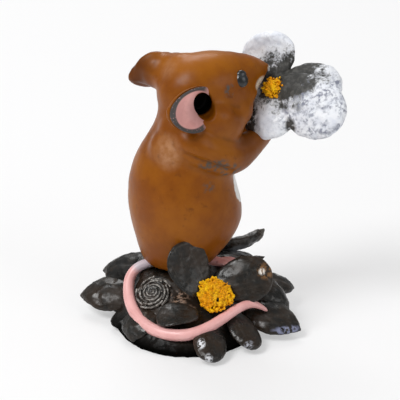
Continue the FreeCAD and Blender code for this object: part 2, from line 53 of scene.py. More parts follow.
# Camera: it looks down on the figurine from its right side, from about half a metre away,
# and takes in a strip 100 mm wide.
CAMERA_AIM = Vector((3.5, 1.0, 32.6)) * MM
CAMERA_DISTANCE = 520 * MM
CAMERA_ELEVATION = math.radians(22)
FRAME_WIDTH = 100 * MM
NEAREST_SEEN = 10 * MM
camera_place = CAMERA_AIM + CAMERA_DISTANCE * Vector(
    (0, -math.cos(CAMERA_ELEVATION), math.sin(CAMERA_ELEVATION))
)
bpy.ops.object.camera_add(
    location=camera_place, rotation=(math.pi / 2 - CAMERA_ELEVATION, 0, 0)
)
camera = bpy.context.object
camera.data.angle = 2 * math.atan(FRAME_WIDTH / 2 / CAMERA_DISTANCE)
camera.data.clip_start = NEAREST_SEEN
bpy.context.scene.camera = camera


# Studio: white paper under the figurine, and three soft disc lamps: a strong one high on the
# left, a weak one on the right and one behind. Paper and room are white to the camera, and
# the paper keeps the figurine's shadow.
FLOOR_RADIUS = 3.0
FLOOR_COLOUR = (0.90, 0.90, 0.905, 1)
FLOOR_GLOW = 0.42
ROOM_WHITE = (1, 1, 1, 1)
ROOM_LIGHT_ON_FIGURINE = 0.36
ROOM_LIGHT_TO_CAMERA = 1.0


def lamp(name, place, size, power):
    """A soft disc lamp that points at the figurine."""
    bpy.ops.object.light_add(type="AREA", location=place)
    light = bpy.context.object
    light.name = name
    light.data.shape = "DISK"
    light.data.size = size
    light.data.energy = power
    light.rotation_euler = (Vector(place) - CAMERA_AIM).to_track_quat("Z", "Y").to_euler()


lamp("softbox_left", (-0.55, -0.35, 0.85), size=0.50, power=6.8)
lamp("softbox_right", (0.75, -0.55, 0.55), size=0.60, power=1.7)
lamp("softbox_back", (-0.10, 0.70, 0.75), size=0.50, power=3.0)

world = bpy.data.worlds.new("white_room")
bpy.context.scene.world = world
world.use_nodes = True
nodes, links = world.node_tree.nodes, world.node_tree.links
sky = nodes["Background"]
sky.inputs["Color"].default_value = ROOM_WHITE
path = nodes.new("ShaderNodeLightPath")
seen = nodes.new("ShaderNodeMath")
seen.operation = "MAXIMUM"
strength = nodes.new("ShaderNodeMapRange")
strength.inputs["To Min"].default_value = ROOM_LIGHT_ON_FIGURINE
strength.inputs["To Max"].default_value = ROOM_LIGHT_TO_CAMERA
links.new(path.outputs["Is Camera Ray"], seen.inputs[0])
links.new(path.outputs["Is Transmission Ray"], seen.inputs[1])
links.new(seen.outputs[0], strength.inputs["Value"])
links.new(strength.outputs["Result"], sky.inputs["Strength"])

bpy.ops.mesh.primitive_circle_add(
    vertices=96, radius=FLOOR_RADIUS, fill_type="NGON", location=(0, 0, 0)
)
floor = bpy.context.object
floor.name = "floor"
paper = bpy.data.materials.new("white_paper")
paper.use_nodes = True
nodes, links = paper.node_tree.nodes, paper.node_tree.links
nodes.clear()
output = nodes.new("ShaderNodeOutputMaterial")
matt = nodes.new("ShaderNodeBsdfDiffuse")
matt.inputs["Color"].default_value = FLOOR_COLOUR
glow = nodes.new("ShaderNodeEmission")
path = nodes.new("ShaderNodeLightPath")
share = nodes.new("ShaderNodeMath")
share.operation = "MULTIPLY"
share.inputs[1].default_value = FLOOR_GLOW
mix = nodes.new("ShaderNodeMixShader")
links.new(path.outputs["Is Camera Ray"], share.inputs[0])
links.new(share.outputs[0], mix.inputs[0])
links.new(matt.outputs[0], mix.inputs[1])
links.new(glow.outputs[0], mix.inputs[2])
links.new(mix.outputs[0], output.inputs["Surface"])
floor.data.materials.append(paper)

bpy.context.scene.view_settings.view_transform = "Standard"


# Skin of the mouse: body, head, ear backs and arms. The real one is modelled in clay, cast in
# metal and painted a warm brown under satin varnish. Here the forms are drawn one by one and
# worked into one skin.
SKIN_VOXEL = 0.32 * MM
SKIN_PASSES = 80
LAST_PASSES = 12
SIDES_ROUND = 32
# height, half length, half width, middle along X
BODY_RINGS = (
    (13.5, 8.3, 9.0, -2.5),
    (17.5, 10.2, 11.0, -1.7),
    (21.5, 12.4, 12.8, -0.5),
    (26.9, 14.6, 13.8, 0.3),
    (32.3, 14.4, 13.6, -0.6),
    (37.7, 13.4, 12.6, -1.2),
    (41.8, 12.5, 11.4, -0.9),
    (45.5, 11.7, 10.6, -0.1),
    (49.0, 11.3, 9.6, 2.0),
    (53.0, 10.3, 8.8, 3.1),
    (57.0, 9.6, 8.2, 2.6),
    (60.0, 6.5, 6.0, 1.6),
)
BODY_ASIDE = 5.0
# the nape, where the head's axis starts, and the ways that lead ahead, to its left and up
HEAD_START = Vector((-6.93, 3.23, 57.62)) * MM
HEAD_AHEAD = Vector((0.925, 0.337, 0.174))
HEAD_LEFT = Vector((-0.367, 0.911, 0.188))
HEAD_UP = Vector((-0.095, -0.238, 0.967))
# place along the head, half height, half width, rise of the middle
HEAD_RINGS = (
    (0.3, 2.0, 2.0, 0.0),
    (0.9, 4.0, 4.0, 0.0),
    (3.5, 7.2, 7.2, 0.0),
    (8.2, 9.5, 9.3, 0.0),
    (13.2, 9.9, 9.5, -0.2),
    (17.6, 9.7, 8.9, -0.9),
    (20.6, 8.4, 7.4, -0.8),
    (23.2, 6.0, 5.8, 0.3),
    (25.0, 4.8, 4.5, 0.8),
    (26.8, 3.5, 3.2, 1.0),
    (28.2, 2.2, 2.0, 1.1),
    (29.2, 1.2, 1.1, 1.1),
)
MUZZLE_RINGS = HEAD_RINGS[-6:]


def in_metres(*measures):
    return tuple(measure * MM for measure in measures)


def picked(*pieces):
    """Selects these pieces alone, with the first one active."""
    bpy.ops.object.select_all(action="DESELECT")
    for piece in pieces:
        piece.select_set(True)
    bpy.context.view_layer.objects.active = pieces[0]


def drawn_form(name, sides, rings):
    """A closed form drawn upwards out of a disc, in metres. A ring gives its height, its half
    widths and its middle."""
    height, half_x, half_y, mid_x, mid_y = rings[0]
    bpy.ops.object.select_all(action="DESELECT")
    bpy.ops.mesh.primitive_circle_add(vertices=sides, radius=1, fill_type="NGON")
    piece = bpy.context.object
    piece.name = piece.data.name = name
    bpy.ops.object.mode_set(mode="EDIT")
    bpy.ops.mesh.select_all(action="SELECT")
    bpy.ops.transform.resize(value=(half_x, half_y, 1), center_override=(0, 0, 0))
    bpy.ops.transform.translate(value=(mid_x, mid_y, height))
    for ring in rings[1:]:
        step = (ring[3] - mid_x, ring[4] - mid_y, ring[0] - height)
        bpy.ops.mesh.extrude_region_move(TRANSFORM_OT_translate={"value": step})
        wider = (ring[1] / half_x, ring[2] / half_y, 1)
        height, half_x, half_y, mid_x, mid_y = ring
        bpy.ops.transform.resize(value=wider, center_override=(mid_x, mid_y, height))
    bpy.ops.mesh.select_all(action="SELECT")
    bpy.ops.mesh.normals_make_consistent(inside=False)
    bpy.ops.object.mode_set(mode="OBJECT")
    return piece


def worked(piece, kind, **settings):
    """Applies one modifier to the piece."""
    picked(piece)
    modifier = piece.modifiers.new(kind.lower(), kind)
    for name, value in settings.items():
        setattr(modifier, name, value)
    bpy.ops.object.modifier_apply(modifier=modifier.name)
    return piece


def rounded(piece, levels):
    return worked(piece, "SUBSURF", levels=levels, render_levels=levels)


def placed(piece, root, ahead, facing):
    """Puts a form that was drawn upwards on its place, with its root there, in metres. It runs
    ahead, and its +Y side looks the way of facing."""
    ahead = Vector(ahead).normalized()
    side = Vector(facing).cross(ahead).normalized()
    turn = Matrix((side, ahead.cross(side), ahead)).transposed()
    piece.matrix_world = Matrix.Translation(root) @ turn.to_4x4()
    picked(piece)
    bpy.ops.object.transform_apply(location=True, rotation=True, scale=True)
    return piece


def head_form(name, rings):
    """The head or its front end, drawn along the head's own axis."""
    form = drawn_form(name, SIDES_ROUND, [in_metres(s, b, a, 0, c) for s, a, b, c in rings])
    return placed(form, HEAD_START, HEAD_AHEAD, HEAD_UP)


def drawn_along(name, route):
    """A round form along a smooth curve. A point of the route gives its place and radius."""
    bpy.ops.object.select_all(action="DESELECT")
    bpy.ops.curve.primitive_nurbs_path_add()
    path = bpy.context.object
    spline = path.data.splines[0]
    spline.points.add(len(route) - len(spline.points))
    for point, (x, y, z, radius) in zip(spline.points, route):
        point.co = (x * MM, y * MM, z * MM, 1)
        point.radius = radius
    spline.order_u = 4
    spline.use_endpoint_u = True
    spline.resolution_u = 8
    path.data.bevel_depth = MM
    path.data.bevel_resolution = 4
    path.data.use_fill_caps = True
    bpy.ops.object.convert(target="MESH")
    piece = bpy.context.object
    piece.name = piece.data.name = name
    return piece


def lump(place, half_sizes, turn=None):
    """An oval ball of clay."""
    bpy.ops.object.select_all(action="DESELECT")
    bpy.ops.mesh.primitive_uv_sphere_add(segments=24, ring_count=14, radius=MM)
    piece = bpy.context.object
    size = Matrix.Diagonal((*half_sizes, 1))
    piece.matrix_world = Matrix.Translation(Vector(place) * MM) @ (turn or Matrix()) @ size
    bpy.ops.object.transform_apply(location=True, rotation=True, scale=True)
    return piece


def joined(name, pieces):
    picked(*pieces)
    bpy.ops.object.join()
    piece = bpy.context.object
    piece.name = piece.data.name = name
    return piece


def clay_worked(piece, voxel, passes):
    """Works the joined lumps into one closed skin and rubs it smooth."""
    worked(piece, "REMESH", mode="VOXEL", voxel_size=voxel)
    worked(piece, "SMOOTH", factor=0.5, iterations=passes)
    bpy.ops.object.shade_smooth()
    return piece


def uneven(piece, size, depth):
    """Gives a surface the unevenness of hand work, in waves of this size, in metres."""
    texture = bpy.data.textures.new(piece.name + "_unevenness", "CLOUDS")
    texture.noise_scale = size
    settings = {"texture": texture, "texture_coords": "LOCAL", "mid_level": 0.5}
    worked(piece, "DISPLACE", strength=depth, **settings)


def proud_grain(piece, passes, height):
    """Stores how far each point stands proud of the surface that these passes of smoothing
    leave: 0.5 where they are even, 1 where it stands half of the height above."""
    low = piece.copy()
    low.data = piece.data.copy()
    bpy.context.collection.objects.link(low)
    worked(low, "SMOOTH", factor=0.5, iterations=passes)
    grain = piece.data.attributes.new("proud", "FLOAT", "POINT")
    for point, sunk, stored in zip(piece.data.vertices, low.data.vertices, grain.data):
        stored.value = 0.5 + (point.co - sunk.co).dot(point.normal) / height
    bpy.data.objects.remove(low)
    bpy.context.view_layer.objects.active = piece


def cut_away(piece, tool, keep_tool=False):
    """Cuts the tool's form out of the piece. Each point of a blade then gets the grain of the
    nearest old point."""
    old = piece.data.attributes.get("grain")
    grains = [Vector(stored.vector) for stored in old.data] if old else []
    if grains:
        old_points = KDTree(len(grains))
        for n, point in enumerate(piece.data.vertices):
            old_points.insert(point.co, n)
        old_points.balance()
    worked(piece, "BOOLEAN", operation="DIFFERENCE", object=tool, solver="EXACT")
    if grains:
        attributes = piece.data.attributes
        grain = attributes.get("grain") or attributes.new("grain", "FLOAT_VECTOR", "POINT")
        for point, stored in zip(piece.data.vertices, grain.data):
            stored.vector = grains[old_points.find(point.co)[1]]
    if not keep_tool:
        bpy.data.objects.remove(tool)


def head_point(along, aside, rise):
    """A point of the head, in metres, from its millimetres along, aside and above the axis."""
    return HEAD_START + (HEAD_AHEAD * along + HEAD_LEFT * aside + HEAD_UP * rise) * MM


# the veins of a leaf: side veins along each half, how far they slant towards the tip, their
# depth as a share of the midrib's, and the midrib's half width as a share of the leaf's
SIDE_VEINS = 5
VEIN_SLANT = 1.6
SIDE_VEIN_DEPTH = 0.175
MIDRIB_WIDTH = 0.14


def blade(name, root, tip, facing, width, thickness, bow, cup, outline, vein=0):
    """The blade of an ear, a petal or a leaf. Its face looks the way of facing, its middle bows
    up and its sides cup up, and vein is the depth of its midrib. A row of the outline gives a
    place along it and the half width there, as shares of its length and width. The grain tells
    how far a point lies across, through and along it."""
    root, tip = Vector(root) * MM, Vector(tip) * MM
    length = (tip - root).length
    rings = []
    for place, half in outline:
        half_thick = thickness / 2 * min(1, half / outline[0][1])
        rings.append((place * length, half * width * MM, half_thick * MM, 0, 0))
    piece = rounded(drawn_form(name, 12, rings), 3)
    grain = piece.data.attributes.new("grain", "FLOAT_VECTOR", "POINT")
    for point, stored in zip(piece.data.vertices, grain.data):
        across, through, along = point.co
        stored.vector = (across / (width * MM / 2), through / (thickness * MM / 2), along / length)
        x, z = stored.vector[0], stored.vector[2]
        sides = SIDE_VEIN_DEPTH * math.sin(2 * math.pi * (SIDE_VEINS * z - VEIN_SLANT * abs(x)))
        midrib = math.exp(-((x / MIDRIB_WIDTH) ** 2))
        point.co.y += vein * MM * (sides - midrib) * math.sin(math.pi * min(max(z, 0), 1))
    # a flat arc turns by 8 times its rise over its length
    worked(piece, "SIMPLE_DEFORM", deform_method="BEND", deform_axis="Z", angle=8 * cup / width)
    turn = -8 * bow * MM / length
    worked(piece, "SIMPLE_DEFORM", deform_method="BEND", deform_axis="X", angle=turn)
    piece.data.transform(Matrix.Rotation(turn / 2, 4, "X"))
    bpy.ops.object.shade_smooth()
    return placed(piece, root, tip - root, facing)


EAR_OUTLINE = (
    (0, 0.12), (0.02, 0.24), (0.06, 0.36), (0.13, 0.46), (0.25, 0.53),
    (0.45, 0.54), (0.65, 0.48), (0.82, 0.35), (0.94, 0.19), (0.995, 0.06),
)
# root, tip, facing, width
EARS = {
    "right_ear": ((5.3, -1.7, 58.7), (-4.2, -11.6, 59.8), (0.740, -0.684, 0.027), 13.0),
    "left_ear": ((-0.7, 13.9, 63.4), (-14.7, 14.9, 60.2), (0.041, 0.969, 0.242), 11.0),
}
EAR_BOW = -0.8
EAR_CUP = 2.6
EAR_BACK_THICKNESS = 1.6
EAR_BACK_SHIFT = 0.45
# middle of an ear's hole: along the head, aside and above its axis
EAR_HOLE = (8.7, 8.7, 1.4)
# the two ways out of each hole: through the head and through the ear
WAYS_OUT = {
    "right_ear": (-HEAD_LEFT, (0.05, -0.92, 0.39)),
    "left_ear": (HEAD_LEFT, HEAD_LEFT),
}
PIT_RADII = (2.4 * MM, 2.9 * MM)
PIT_DEPTH = 3.0 * MM
PLUG_REACH = 9 * MM


def hand_of(name):
    """-1 for a piece on the mouse's right, 1 for one on its left."""
    return -1 if name.startswith("right") else 1


def ear_blade(name, thickness, share, back):
    """An ear at a share of its size, set back from its place by this many millimetres."""
    root, tip, facing, width = EARS[name]
    root, facing = Vector(root), Vector(facing)
    shift = facing * -back
    tip = root + (Vector(tip) - root) * share
    form = (width * share, thickness, EAR_BOW, EAR_CUP, EAR_OUTLINE)
    return blade(name, root + shift, tip + shift, facing, *form)


def ear_plug(name, out):
    """The plug that leaves the ear hole."""
    along, aside, rise = EAR_HOLE
    bpy.ops.object.select_all(action="DESELECT")
    bpy.ops.mesh.primitive_cylinder_add(vertices=40, radius=1, depth=PLUG_REACH + PIT_DEPTH)
    piece = bpy.context.object
    piece.data.transform(Matrix.Diagonal((*PIT_RADII, 1, 1)))
    piece.data.transform(Matrix.Translation((0, 0, (PLUG_REACH - PIT_DEPTH) / 2)))
    return placed(piece, head_point(along, hand_of(name) * aside, rise), out, HEAD_UP)


body_rings = [in_metres(z, a, b, x, BODY_ASIDE) for z, a, b, x in BODY_RINGS]
body = drawn_form("body", SIDES_ROUND, body_rings)
head = head_form("head", HEAD_RINGS)
for part in (body, head):
    rounded(part, 1)

# the near arm and the far arm, each from its shoulder to its wrist
ARM_ROUTES = (
    (
        (-3.0, -3.0, 52.7, 0.6),
        (-1.3, -3.3, 51.4, 3.2),
        (1.0, -3.4, 49.8, 4.8),
        (3.3, -3.1, 48.5, 5.2),
        (5.7, -2.3, 46.6, 5.3),
        (9.5, -0.2, 44.5, 5.0),
        (12.0, 1.9, 43.9, 4.6),
        (14.9, 5.2, 45.0, 3.9),
        (18.2, 9.4, 46.0, 3.1),
        (20.4, 12.9, 46.6, 2.3),
        (21.9, 15.4, 47.1, 1.7),
    ),
    (
        (-3.0, 13.0, 52.7, 0.6),
        (-1.3, 13.8, 51.4, 3.2),
        (1.0, 14.6, 49.8, 4.8),
        (5.7, 16.2, 47.3, 5.3),
        (9.5, 17.2, 45.9, 5.0),
        (14.9, 18.2, 45.4, 3.9),
        (18.2, 18.6, 46.0, 3.1),
        (21.9, 18.8, 47.1, 1.7),
    ),
)
arms = [drawn_along("arm", route) for route in ARM_ROUTES]
# the far ear droops and grows out of the crown and the nape: places and half sizes of its lumps
DROOP = Matrix.Rotation(math.radians(-31), 4, "Y")
EAR_LUMPS = (
    ((-8.2, 13.0, 63.4), (5.6, 1.3, 4.6)),
    ((-3.6, 11.2, 64.6), (4.6, 3.0, 3.2)),
    ((-5.0, 10.0, 61.2), (3.4, 3.6, 4.2)),
    ((-1.2, 8.6, 64.9), (4.8, 3.8, 3.6)),
    ((-13.2, 13.8, 60.7), (1.9, 1.0, 1.7)),
    ((-6.6, 11.7, 62.6), (4.6, 2.5, 4.6)),
)
# throat, neck over the near arm, shoulder, shoulder blade, chin and cheeks
FILLS = (
    ((10.5, 3.0, 52.5), (4.2, 6.0, 5.0)),
    ((5.5, -0.5, 54.0), (7.5, 4.4, 5.5)),
    ((0.0, -0.2, 51.0), (7.0, 5.4, 6.5)),
    ((-1.5, -0.4, 46.5), (7.8, 5.6, 7.0)),
    ((13.5, 7.0, 55.0), (3.4, 5.5, 4.5)),
    (head_point(21.5, -3.6, -1.9) / MM, (3.6, 2.8, 3.0)),
    (head_point(21.5, 3.6, -1.9) / MM, (3.6, 2.8, 3.0)),
)
NOSE = (head_point(28.9, 0, 1.1) / MM, (1.2, 1.1, 1.1))
lumps = [lump(place, half_sizes, DROOP) for place, half_sizes in EAR_LUMPS]
lumps += [lump(*fill) for fill in FILLS]
skin = joined("mouse_skin", [body, head, *arms, *lumps])
clay_worked(skin, SKIN_VOXEL, SKIN_PASSES)
muzzle = head_form("muzzle", MUZZLE_RINGS)
nose = lump(*NOSE)
plugs = {name: [ear_plug(name, out) for out in ways] for name, ways in WAYS_OUT.items()}
backs = [ear_blade(name, EAR_BACK_THICKNESS, 1.0, EAR_BACK_SHIFT) for name in EARS]
for back, (through_head, through_ear) in zip(backs, plugs.values()):
    cut_away(skin, through_head, keep_tool=True)
    cut_away(back, through_head, keep_tool=True)
    cut_away(back, through_ear, keep_tool=True)
# the fold between the near arm and the flank, pressed in with the wire tool: how deep, and where
FOLD_ROUTE = (
    (0.0, (-3.5, -6.0, 49.2)),
    (0.15, (-0.7, -7.0, 47.9)),
    (0.45, (3.5, -8.0, 46.4)),
    (0.55, (8.4, -6.5, 43.4)),
    (0.45, (11.8, -3.5, 41.6)),
)
WIRE_RADIUS = 1.3
wire = []
for depth, point in FOLD_ROUTE:
    on_skin, normal = skin.closest_point_on_mesh(Vector(point) * MM)[1:3]
    wire.append((*(on_skin / MM + normal * (WIRE_RADIUS - depth)), WIRE_RADIUS))
cut_away(skin, drawn_along("wire", wire))
skin = joined("mouse_skin", [skin, muzzle, nose, *backs])
clay_worked(skin, SKIN_VOXEL, LAST_PASSES)
uneven(skin, 6 * MM, 0.25 * MM)
uneven(skin, 1.6 * MM, 0.05 * MM)
proud_grain(skin, 40, 0.8 * MM)


def fitted(piece, node, material):
    """Names a finished piece after the casting that it shows, and fits it in its place."""
    piece.name = piece.data.name = "cast_" + node
    piece.data.materials.append(material)
    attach(piece, "root")
    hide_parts(node)


def add_node(tree, kind, sockets=(), **settings):
    """Adds a node. A socket is set to a value, or linked if it is given another's socket."""
    made = tree.nodes.new("ShaderNode" + kind)
    for name, value in settings.items():
        setattr(made, name, value)
    for name, value in dict(sockets).items():
        if isinstance(value, bpy.types.NodeSocket):
            tree.links.new(value, made.inputs[name])
        else:
            made.inputs[name].default_value = value
    return made


def paint(name, roughness, coat=0.0):
    """A new paint: the material, its node tree, its shader and the place on the object."""
    material = bpy.data.materials.new(name)
    material.use_nodes = True
    tree = material.node_tree
    shader = tree.nodes["Principled BSDF"]
    shader.inputs["Roughness"].default_value = roughness
    shader.inputs["Coat Weight"].default_value = coat
    shader.inputs["Coat Roughness"].default_value = 0.25
    return material, tree, shader, add_node(tree, "TexCoord").outputs["Object"]


def ramp(tree, value, low, high):
    """A mask that goes from 0 to 1 while the value goes from low to high."""
    limits = {"Value": value, "From Min": low, "From Max": high}
    return add_node(tree, "MapRange", limits, interpolation_type="SMOOTHSTEP").outputs["Result"]


def noise(tree, place, scale, detail, roughness):
    sockets = {"Vector": place, "Scale": scale, "Detail": detail, "Roughness": roughness}
    return add_node(tree, "TexNoise", sockets).outputs["Fac"]


def patches(tree, place, scale, low, high):
    """A mask of irregular patches, 0 where the noise is below low and 1 where above high."""
    return ramp(tree, noise(tree, place, scale, 4.0, 0.6), low, high)


def spot(tree, place, middle, radii):
    """A mask that is 1 at the middle of a spot and fades out to its rim."""
    scale = [1 / (radius * MM) for radius in radii]
    shift = [-m * MM * s for m, s in zip(middle, scale)]
    moved = add_node(tree, "Mapping", {"Vector": place, "Location": shift, "Scale": scale})
    sockets = {"Vector": moved.outputs[0]}
    return add_node(tree, "TexGradient", sockets, gradient_type="SPHERICAL").outputs["Fac"]


def grain_of(tree):
    """A blade's own measures: across, through and along it."""
    return add_node(tree, "Attribute", attribute_name="grain").outputs["Vector"]


def proud(tree, low, high):
    """A mask that goes from 0 to 1 with how far the surface stands proud."""
    return ramp(tree, add_node(tree, "Attribute", attribute_name="proud").outputs["Fac"], low, high)


def reckoned(tree, operation, *values, clamp=True):
    """What one step of arithmetic makes of masks and numbers, kept from 0 to 1 by the clamp."""
    sockets = dict(enumerate(values))
    return add_node(tree, "Math", sockets, operation=operation, use_clamp=clamp).outputs[0]


def times(tree, mask, share):
    return reckoned(tree, "MULTIPLY", mask, share)


def srgb(red, green, blue):
    values = []
    for level in (red, green, blue):
        level /= 255
        values.append(level / 12.92 if level <= 0.04045 else ((level + 0.055) / 1.055) ** 2.4)
    return (*values, 1)


def over(tree, mask, under, top):
    """The colour of a layer of paint over another. A colour is given as sRGB or as a socket."""
    under, top = (c if isinstance(c, bpy.types.NodeSocket) else srgb(*c) for c in (under, top))
    # a Mix node's two colours are its sockets 6 and 7, and the mixed colour is its output 2
    sockets = {"Factor": mask, 6: under, 7: top}
    return add_node(tree, "Mix", sockets, data_type="RGBA").outputs[2]


def brushed_on(tree, shader, place, tone, scale, height):
    """Lays a colour on, with fine brush marks and grain in the paint film."""
    tree.links.new(tone, shader.inputs["Base Color"])
    marks = noise(tree, place, scale, 6.0, 0.65)
    bump = add_node(tree, "Bump", {"Height": marks, "Strength": 0.35, "Distance": height})
    tree.links.new(bump.outputs[0], shader.inputs["Normal"])


WARM_BROWN = (146, 83, 5)
DEEP_BROWN = (127, 66, 3)
DARK_SPECKS = (106, 54, 6)
PALE_SPECKS = (156, 96, 36)
PAINTED_HIGHLIGHT_TINT = (192, 144, 106)
CREASE_SHADE = (70, 40, 14)
GREY_METAL = (84, 78, 72)
IVORY = (208, 198, 182)
SOILED_IVORY = (150, 142, 132)
BELLY_WHITE = (222, 222, 220)
HOLE_SHADE_BLACK = (8, 8, 7)
SKIN_SHINE = 0.17
brown, tree, shader, place = paint("brown_paint", 0.38, 0.08)
tone = over(tree, patches(tree, place, 90, 0.35, 0.65), WARM_BROWN, DEEP_BROWN)
tone = over(tree, patches(tree, place, 420, 0.58, 0.80), tone, DARK_SPECKS)
tone = over(tree, patches(tree, place, 1600, 0.66, 0.76), tone, PALE_SPECKS)
# painted shade on the far ear and on the forearm, and a painted highlight on the crown:
# middle, radii, strength, colour
SHADE_AND_HIGHLIGHT_SPOTS = (
    ((-11.0, 13.0, 62.5), (8.0, 5.0, 7.0), 1.6, (96, 48, 2)),
    ((14.0, 4.0, 45.0), (9.0, 9.0, 7.0), 1.3, (108, 56, 3)),
    ((3.0, 7.0, 67.5), (11.0, 8.0, 5.0), 0.7, (176, 106, 26)),
)
for middle, radii, share, colour in SHADE_AND_HIGHLIGHT_SPOTS:
    tone = over(tree, times(tree, spot(tree, place, middle, radii), share), tone, colour)
# painted highlights, mottled, on the shoulder and on the nape
HIGHLIGHT_PLACES = (
    ((-4.2, -4.5, 47.6), (4.2, 6.0, 5.6), 1.1),
    ((-3.6, 6.0, 65.0), (3.4, 5.0, 3.4), 0.6),
)
for middle, radii, share in HIGHLIGHT_PLACES:
    pale = times(tree, spot(tree, place, middle, radii), share)
    mottle = reckoned(tree, "MULTIPLY_ADD", patches(tree, place, 520, 0.34, 0.68), 0.55, 0.35)
    tone = over(tree, times(tree, pale, mottle), tone, PAINTED_HIGHLIGHT_TINT)
# painted shade: darker brown in the creases and hollows of the skin
tone = over(tree, proud(tree, 0.20, 0.46), CREASE_SHADE, tone)
# worn to the grey metal: under the eye, along the fold of the arm and on the flank
WORN_PLACES = (
    ((10.6, 1.2, 61.5), (1.6, 3.2, 2.1)),
    ((7.0, -6.0, 44.5), (4.6, 4.5, 2.3)),
    ((11.0, -4.0, 42.2), (3.8, 4.2, 2.6)),
    ((6.7, -7.5, 38.7), (3.4, 3.6, 2.2)),
)
for middle, radii in WORN_PLACES:
    worn = times(tree, spot(tree, place, middle, radii), 2.4)
    worn = times(tree, worn, patches(tree, place, 800, 0.42, 0.60))
    tone = over(tree, worn, tone, GREY_METAL)
# the cream mouth and the cream tip of the nose, which is also a painted highlight, and the
# white belly under the arms
CREAM_PLACES = (((18.8, 8.8, 60.6), (2.3, 3.4, 2.1)), ((20.5, 12.9, 63.6), (0.9, 1.3, 0.8)))
for middle, radii in CREAM_PLACES:
    cream = times(tree, spot(tree, place, middle, radii), 4.0)
    ivory = over(tree, patches(tree, place, 1500, 0.50, 0.62), IVORY, SOILED_IVORY)
    tone = over(tree, cream, tone, ivory)
BELLY_PLACE = ((15.3, 6.5, 36.4), (5.0, 9.0, 7.4))
ragged = noise(tree, place, 260.0, 5.0, 0.7)
belly = reckoned(tree, "MULTIPLY_ADD", ragged, 0.35, spot(tree, place, *BELLY_PLACE))
tone = over(tree, ramp(tree, belly, 0.26, 0.34), tone, BELLY_WHITE)
# painted shade: the ear holes are black and dull down to their floor
HOLE_FLOOR = 5.4
HOLE_RADII = (4.2, 5.2, 4.5)
shine = SKIN_SHINE
for name in EARS:
    floor_middle = head_point(EAR_HOLE[0], hand_of(name) * HOLE_FLOOR, EAR_HOLE[2]) / MM
    black = times(tree, spot(tree, place, floor_middle, HOLE_RADII), 8.0)
    tone = over(tree, black, tone, HOLE_SHADE_BLACK)
    shine = reckoned(tree, "SUBTRACT", shine, black)
tree.links.new(shine, shader.inputs["Specular IOR Level"])
brushed_on(tree, shader, place, tone, 900, 0.06 * MM)
fitted(skin, "mouse_body", brown)
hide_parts("mouse_body", "mouse_head", "right_arm", "left_arm")


# Ears: thin cupped castings that line the ear backs, cut open round the ear holes. They are
# painted pink, with a bare grey edge where the paint has rubbed off, and painted shade in a
# darker pink round the holes.
EAR_PINK = (236, 175, 169)
EAR_ROSE = (220, 156, 150)
HOLE_SHADE_PINK = (104, 58, 54)
RUBBED_RIM = (66, 60, 58)
HOLE_SHADE_RADII = (6.8, 6.8, 6.8)
# the rim lies outside this oval of the grain's own measures, in thousandths
INSIDE_RIM = ((0, 0, 420), (1080, 1e6, 580))
LINING_THICKNESS = 1.1
LINING_SHIFT = -0.25
LINING_SHARES = {"right_ear": 0.97, "left_ear": 0.86}
ear_pink, tree, shader, place = paint("ear_paint", 0.45, 0.10)
tone = over(tree, patches(tree, place, 260, 0.35, 0.65), EAR_PINK, EAR_ROSE)
hole = head_point(EAR_HOLE[0], -EAR_HOLE[1], EAR_HOLE[2]) / MM
# painted shade: a darker pink round the ear hole
tone = over(tree, spot(tree, place, hole, HOLE_SHADE_RADII), tone, HOLE_SHADE_PINK)
# the rim's bare edge dies out towards the root
grain = grain_of(tree)
rim = ramp(tree, spot(tree, grain, *INSIDE_RIM), 0.25, 0.19)
along = add_node(tree, "SeparateXYZ", {0: grain}).outputs["Z"]
rim = times(tree, rim, ramp(tree, along, 0.06, 0.24))
rim = times(tree, rim, patches(tree, place, 2000, 0.24, 0.42))
tone = over(tree, rim, tone, RUBBED_RIM)
brushed_on(tree, shader, place, tone, 1100, 0.06 * MM)
for name, ways in plugs.items():
    ear = ear_blade(name, LINING_THICKNESS, LINING_SHARES[name], LINING_SHIFT)
    for plug in ways:
        cut_away(ear, plug)
    bpy.ops.object.shade_smooth_by_angle(angle=math.radians(50))
    fitted(ear, name, ear_pink)


# Eyes: drops of black enamel, let run into their sockets in the head, with the bluish shine
# of a hard gloss, painted into their colour in patches. Each is a round lump with a smaller
# one above it.
ENAMEL_BLACK = (13, 14, 15)
SHEEN_BLUE = (38, 42, 46)
EYE_TILT = math.radians(33)
EYE_SINK = {"right_eye": 0.4, "left_eye": 0.9}
EYE_HALF_SIZES = (1.75, 1.8, 1.15)
EYE_LOWERED = 0.25
DROP_HALF_SIZES = (1.35, 1.15, 0.9)
DROP_RAISED = 1.1
DROP_AHEAD = 0.3
enamel, tree, shader, place = paint("black_enamel", 0.28, 0.25)
# black, with a painted bluish sheen in patches
tone = over(tree, patches(tree, place, 800, 0.50, 0.66), ENAMEL_BLACK, SHEEN_BLUE)
tree.links.new(tone, shader.inputs["Base Color"])
for name, sink in EYE_SINK.items():
    low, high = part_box(name)
    outward = HEAD_LEFT * (hand_of(name) * math.cos(EYE_TILT))
    out = (outward + HEAD_UP * math.sin(EYE_TILT)).normalized()
    upward = (HEAD_UP - out * HEAD_UP.dot(out)).normalized()
    turn = Matrix((upward.cross(out), upward, out)).transposed().to_4x4()
    middle = (low + high) / 2 / MM - out * sink
    ball = middle - upward * EYE_LOWERED
    drop = middle + upward * DROP_RAISED + HEAD_AHEAD * DROP_AHEAD
    parts = [lump(ball, EYE_HALF_SIZES, turn), lump(drop, DROP_HALF_SIZES, turn)]
    eye = clay_worked(joined(name, parts), 0.10 * MM, 4)
    fitted(eye, name, enamel)


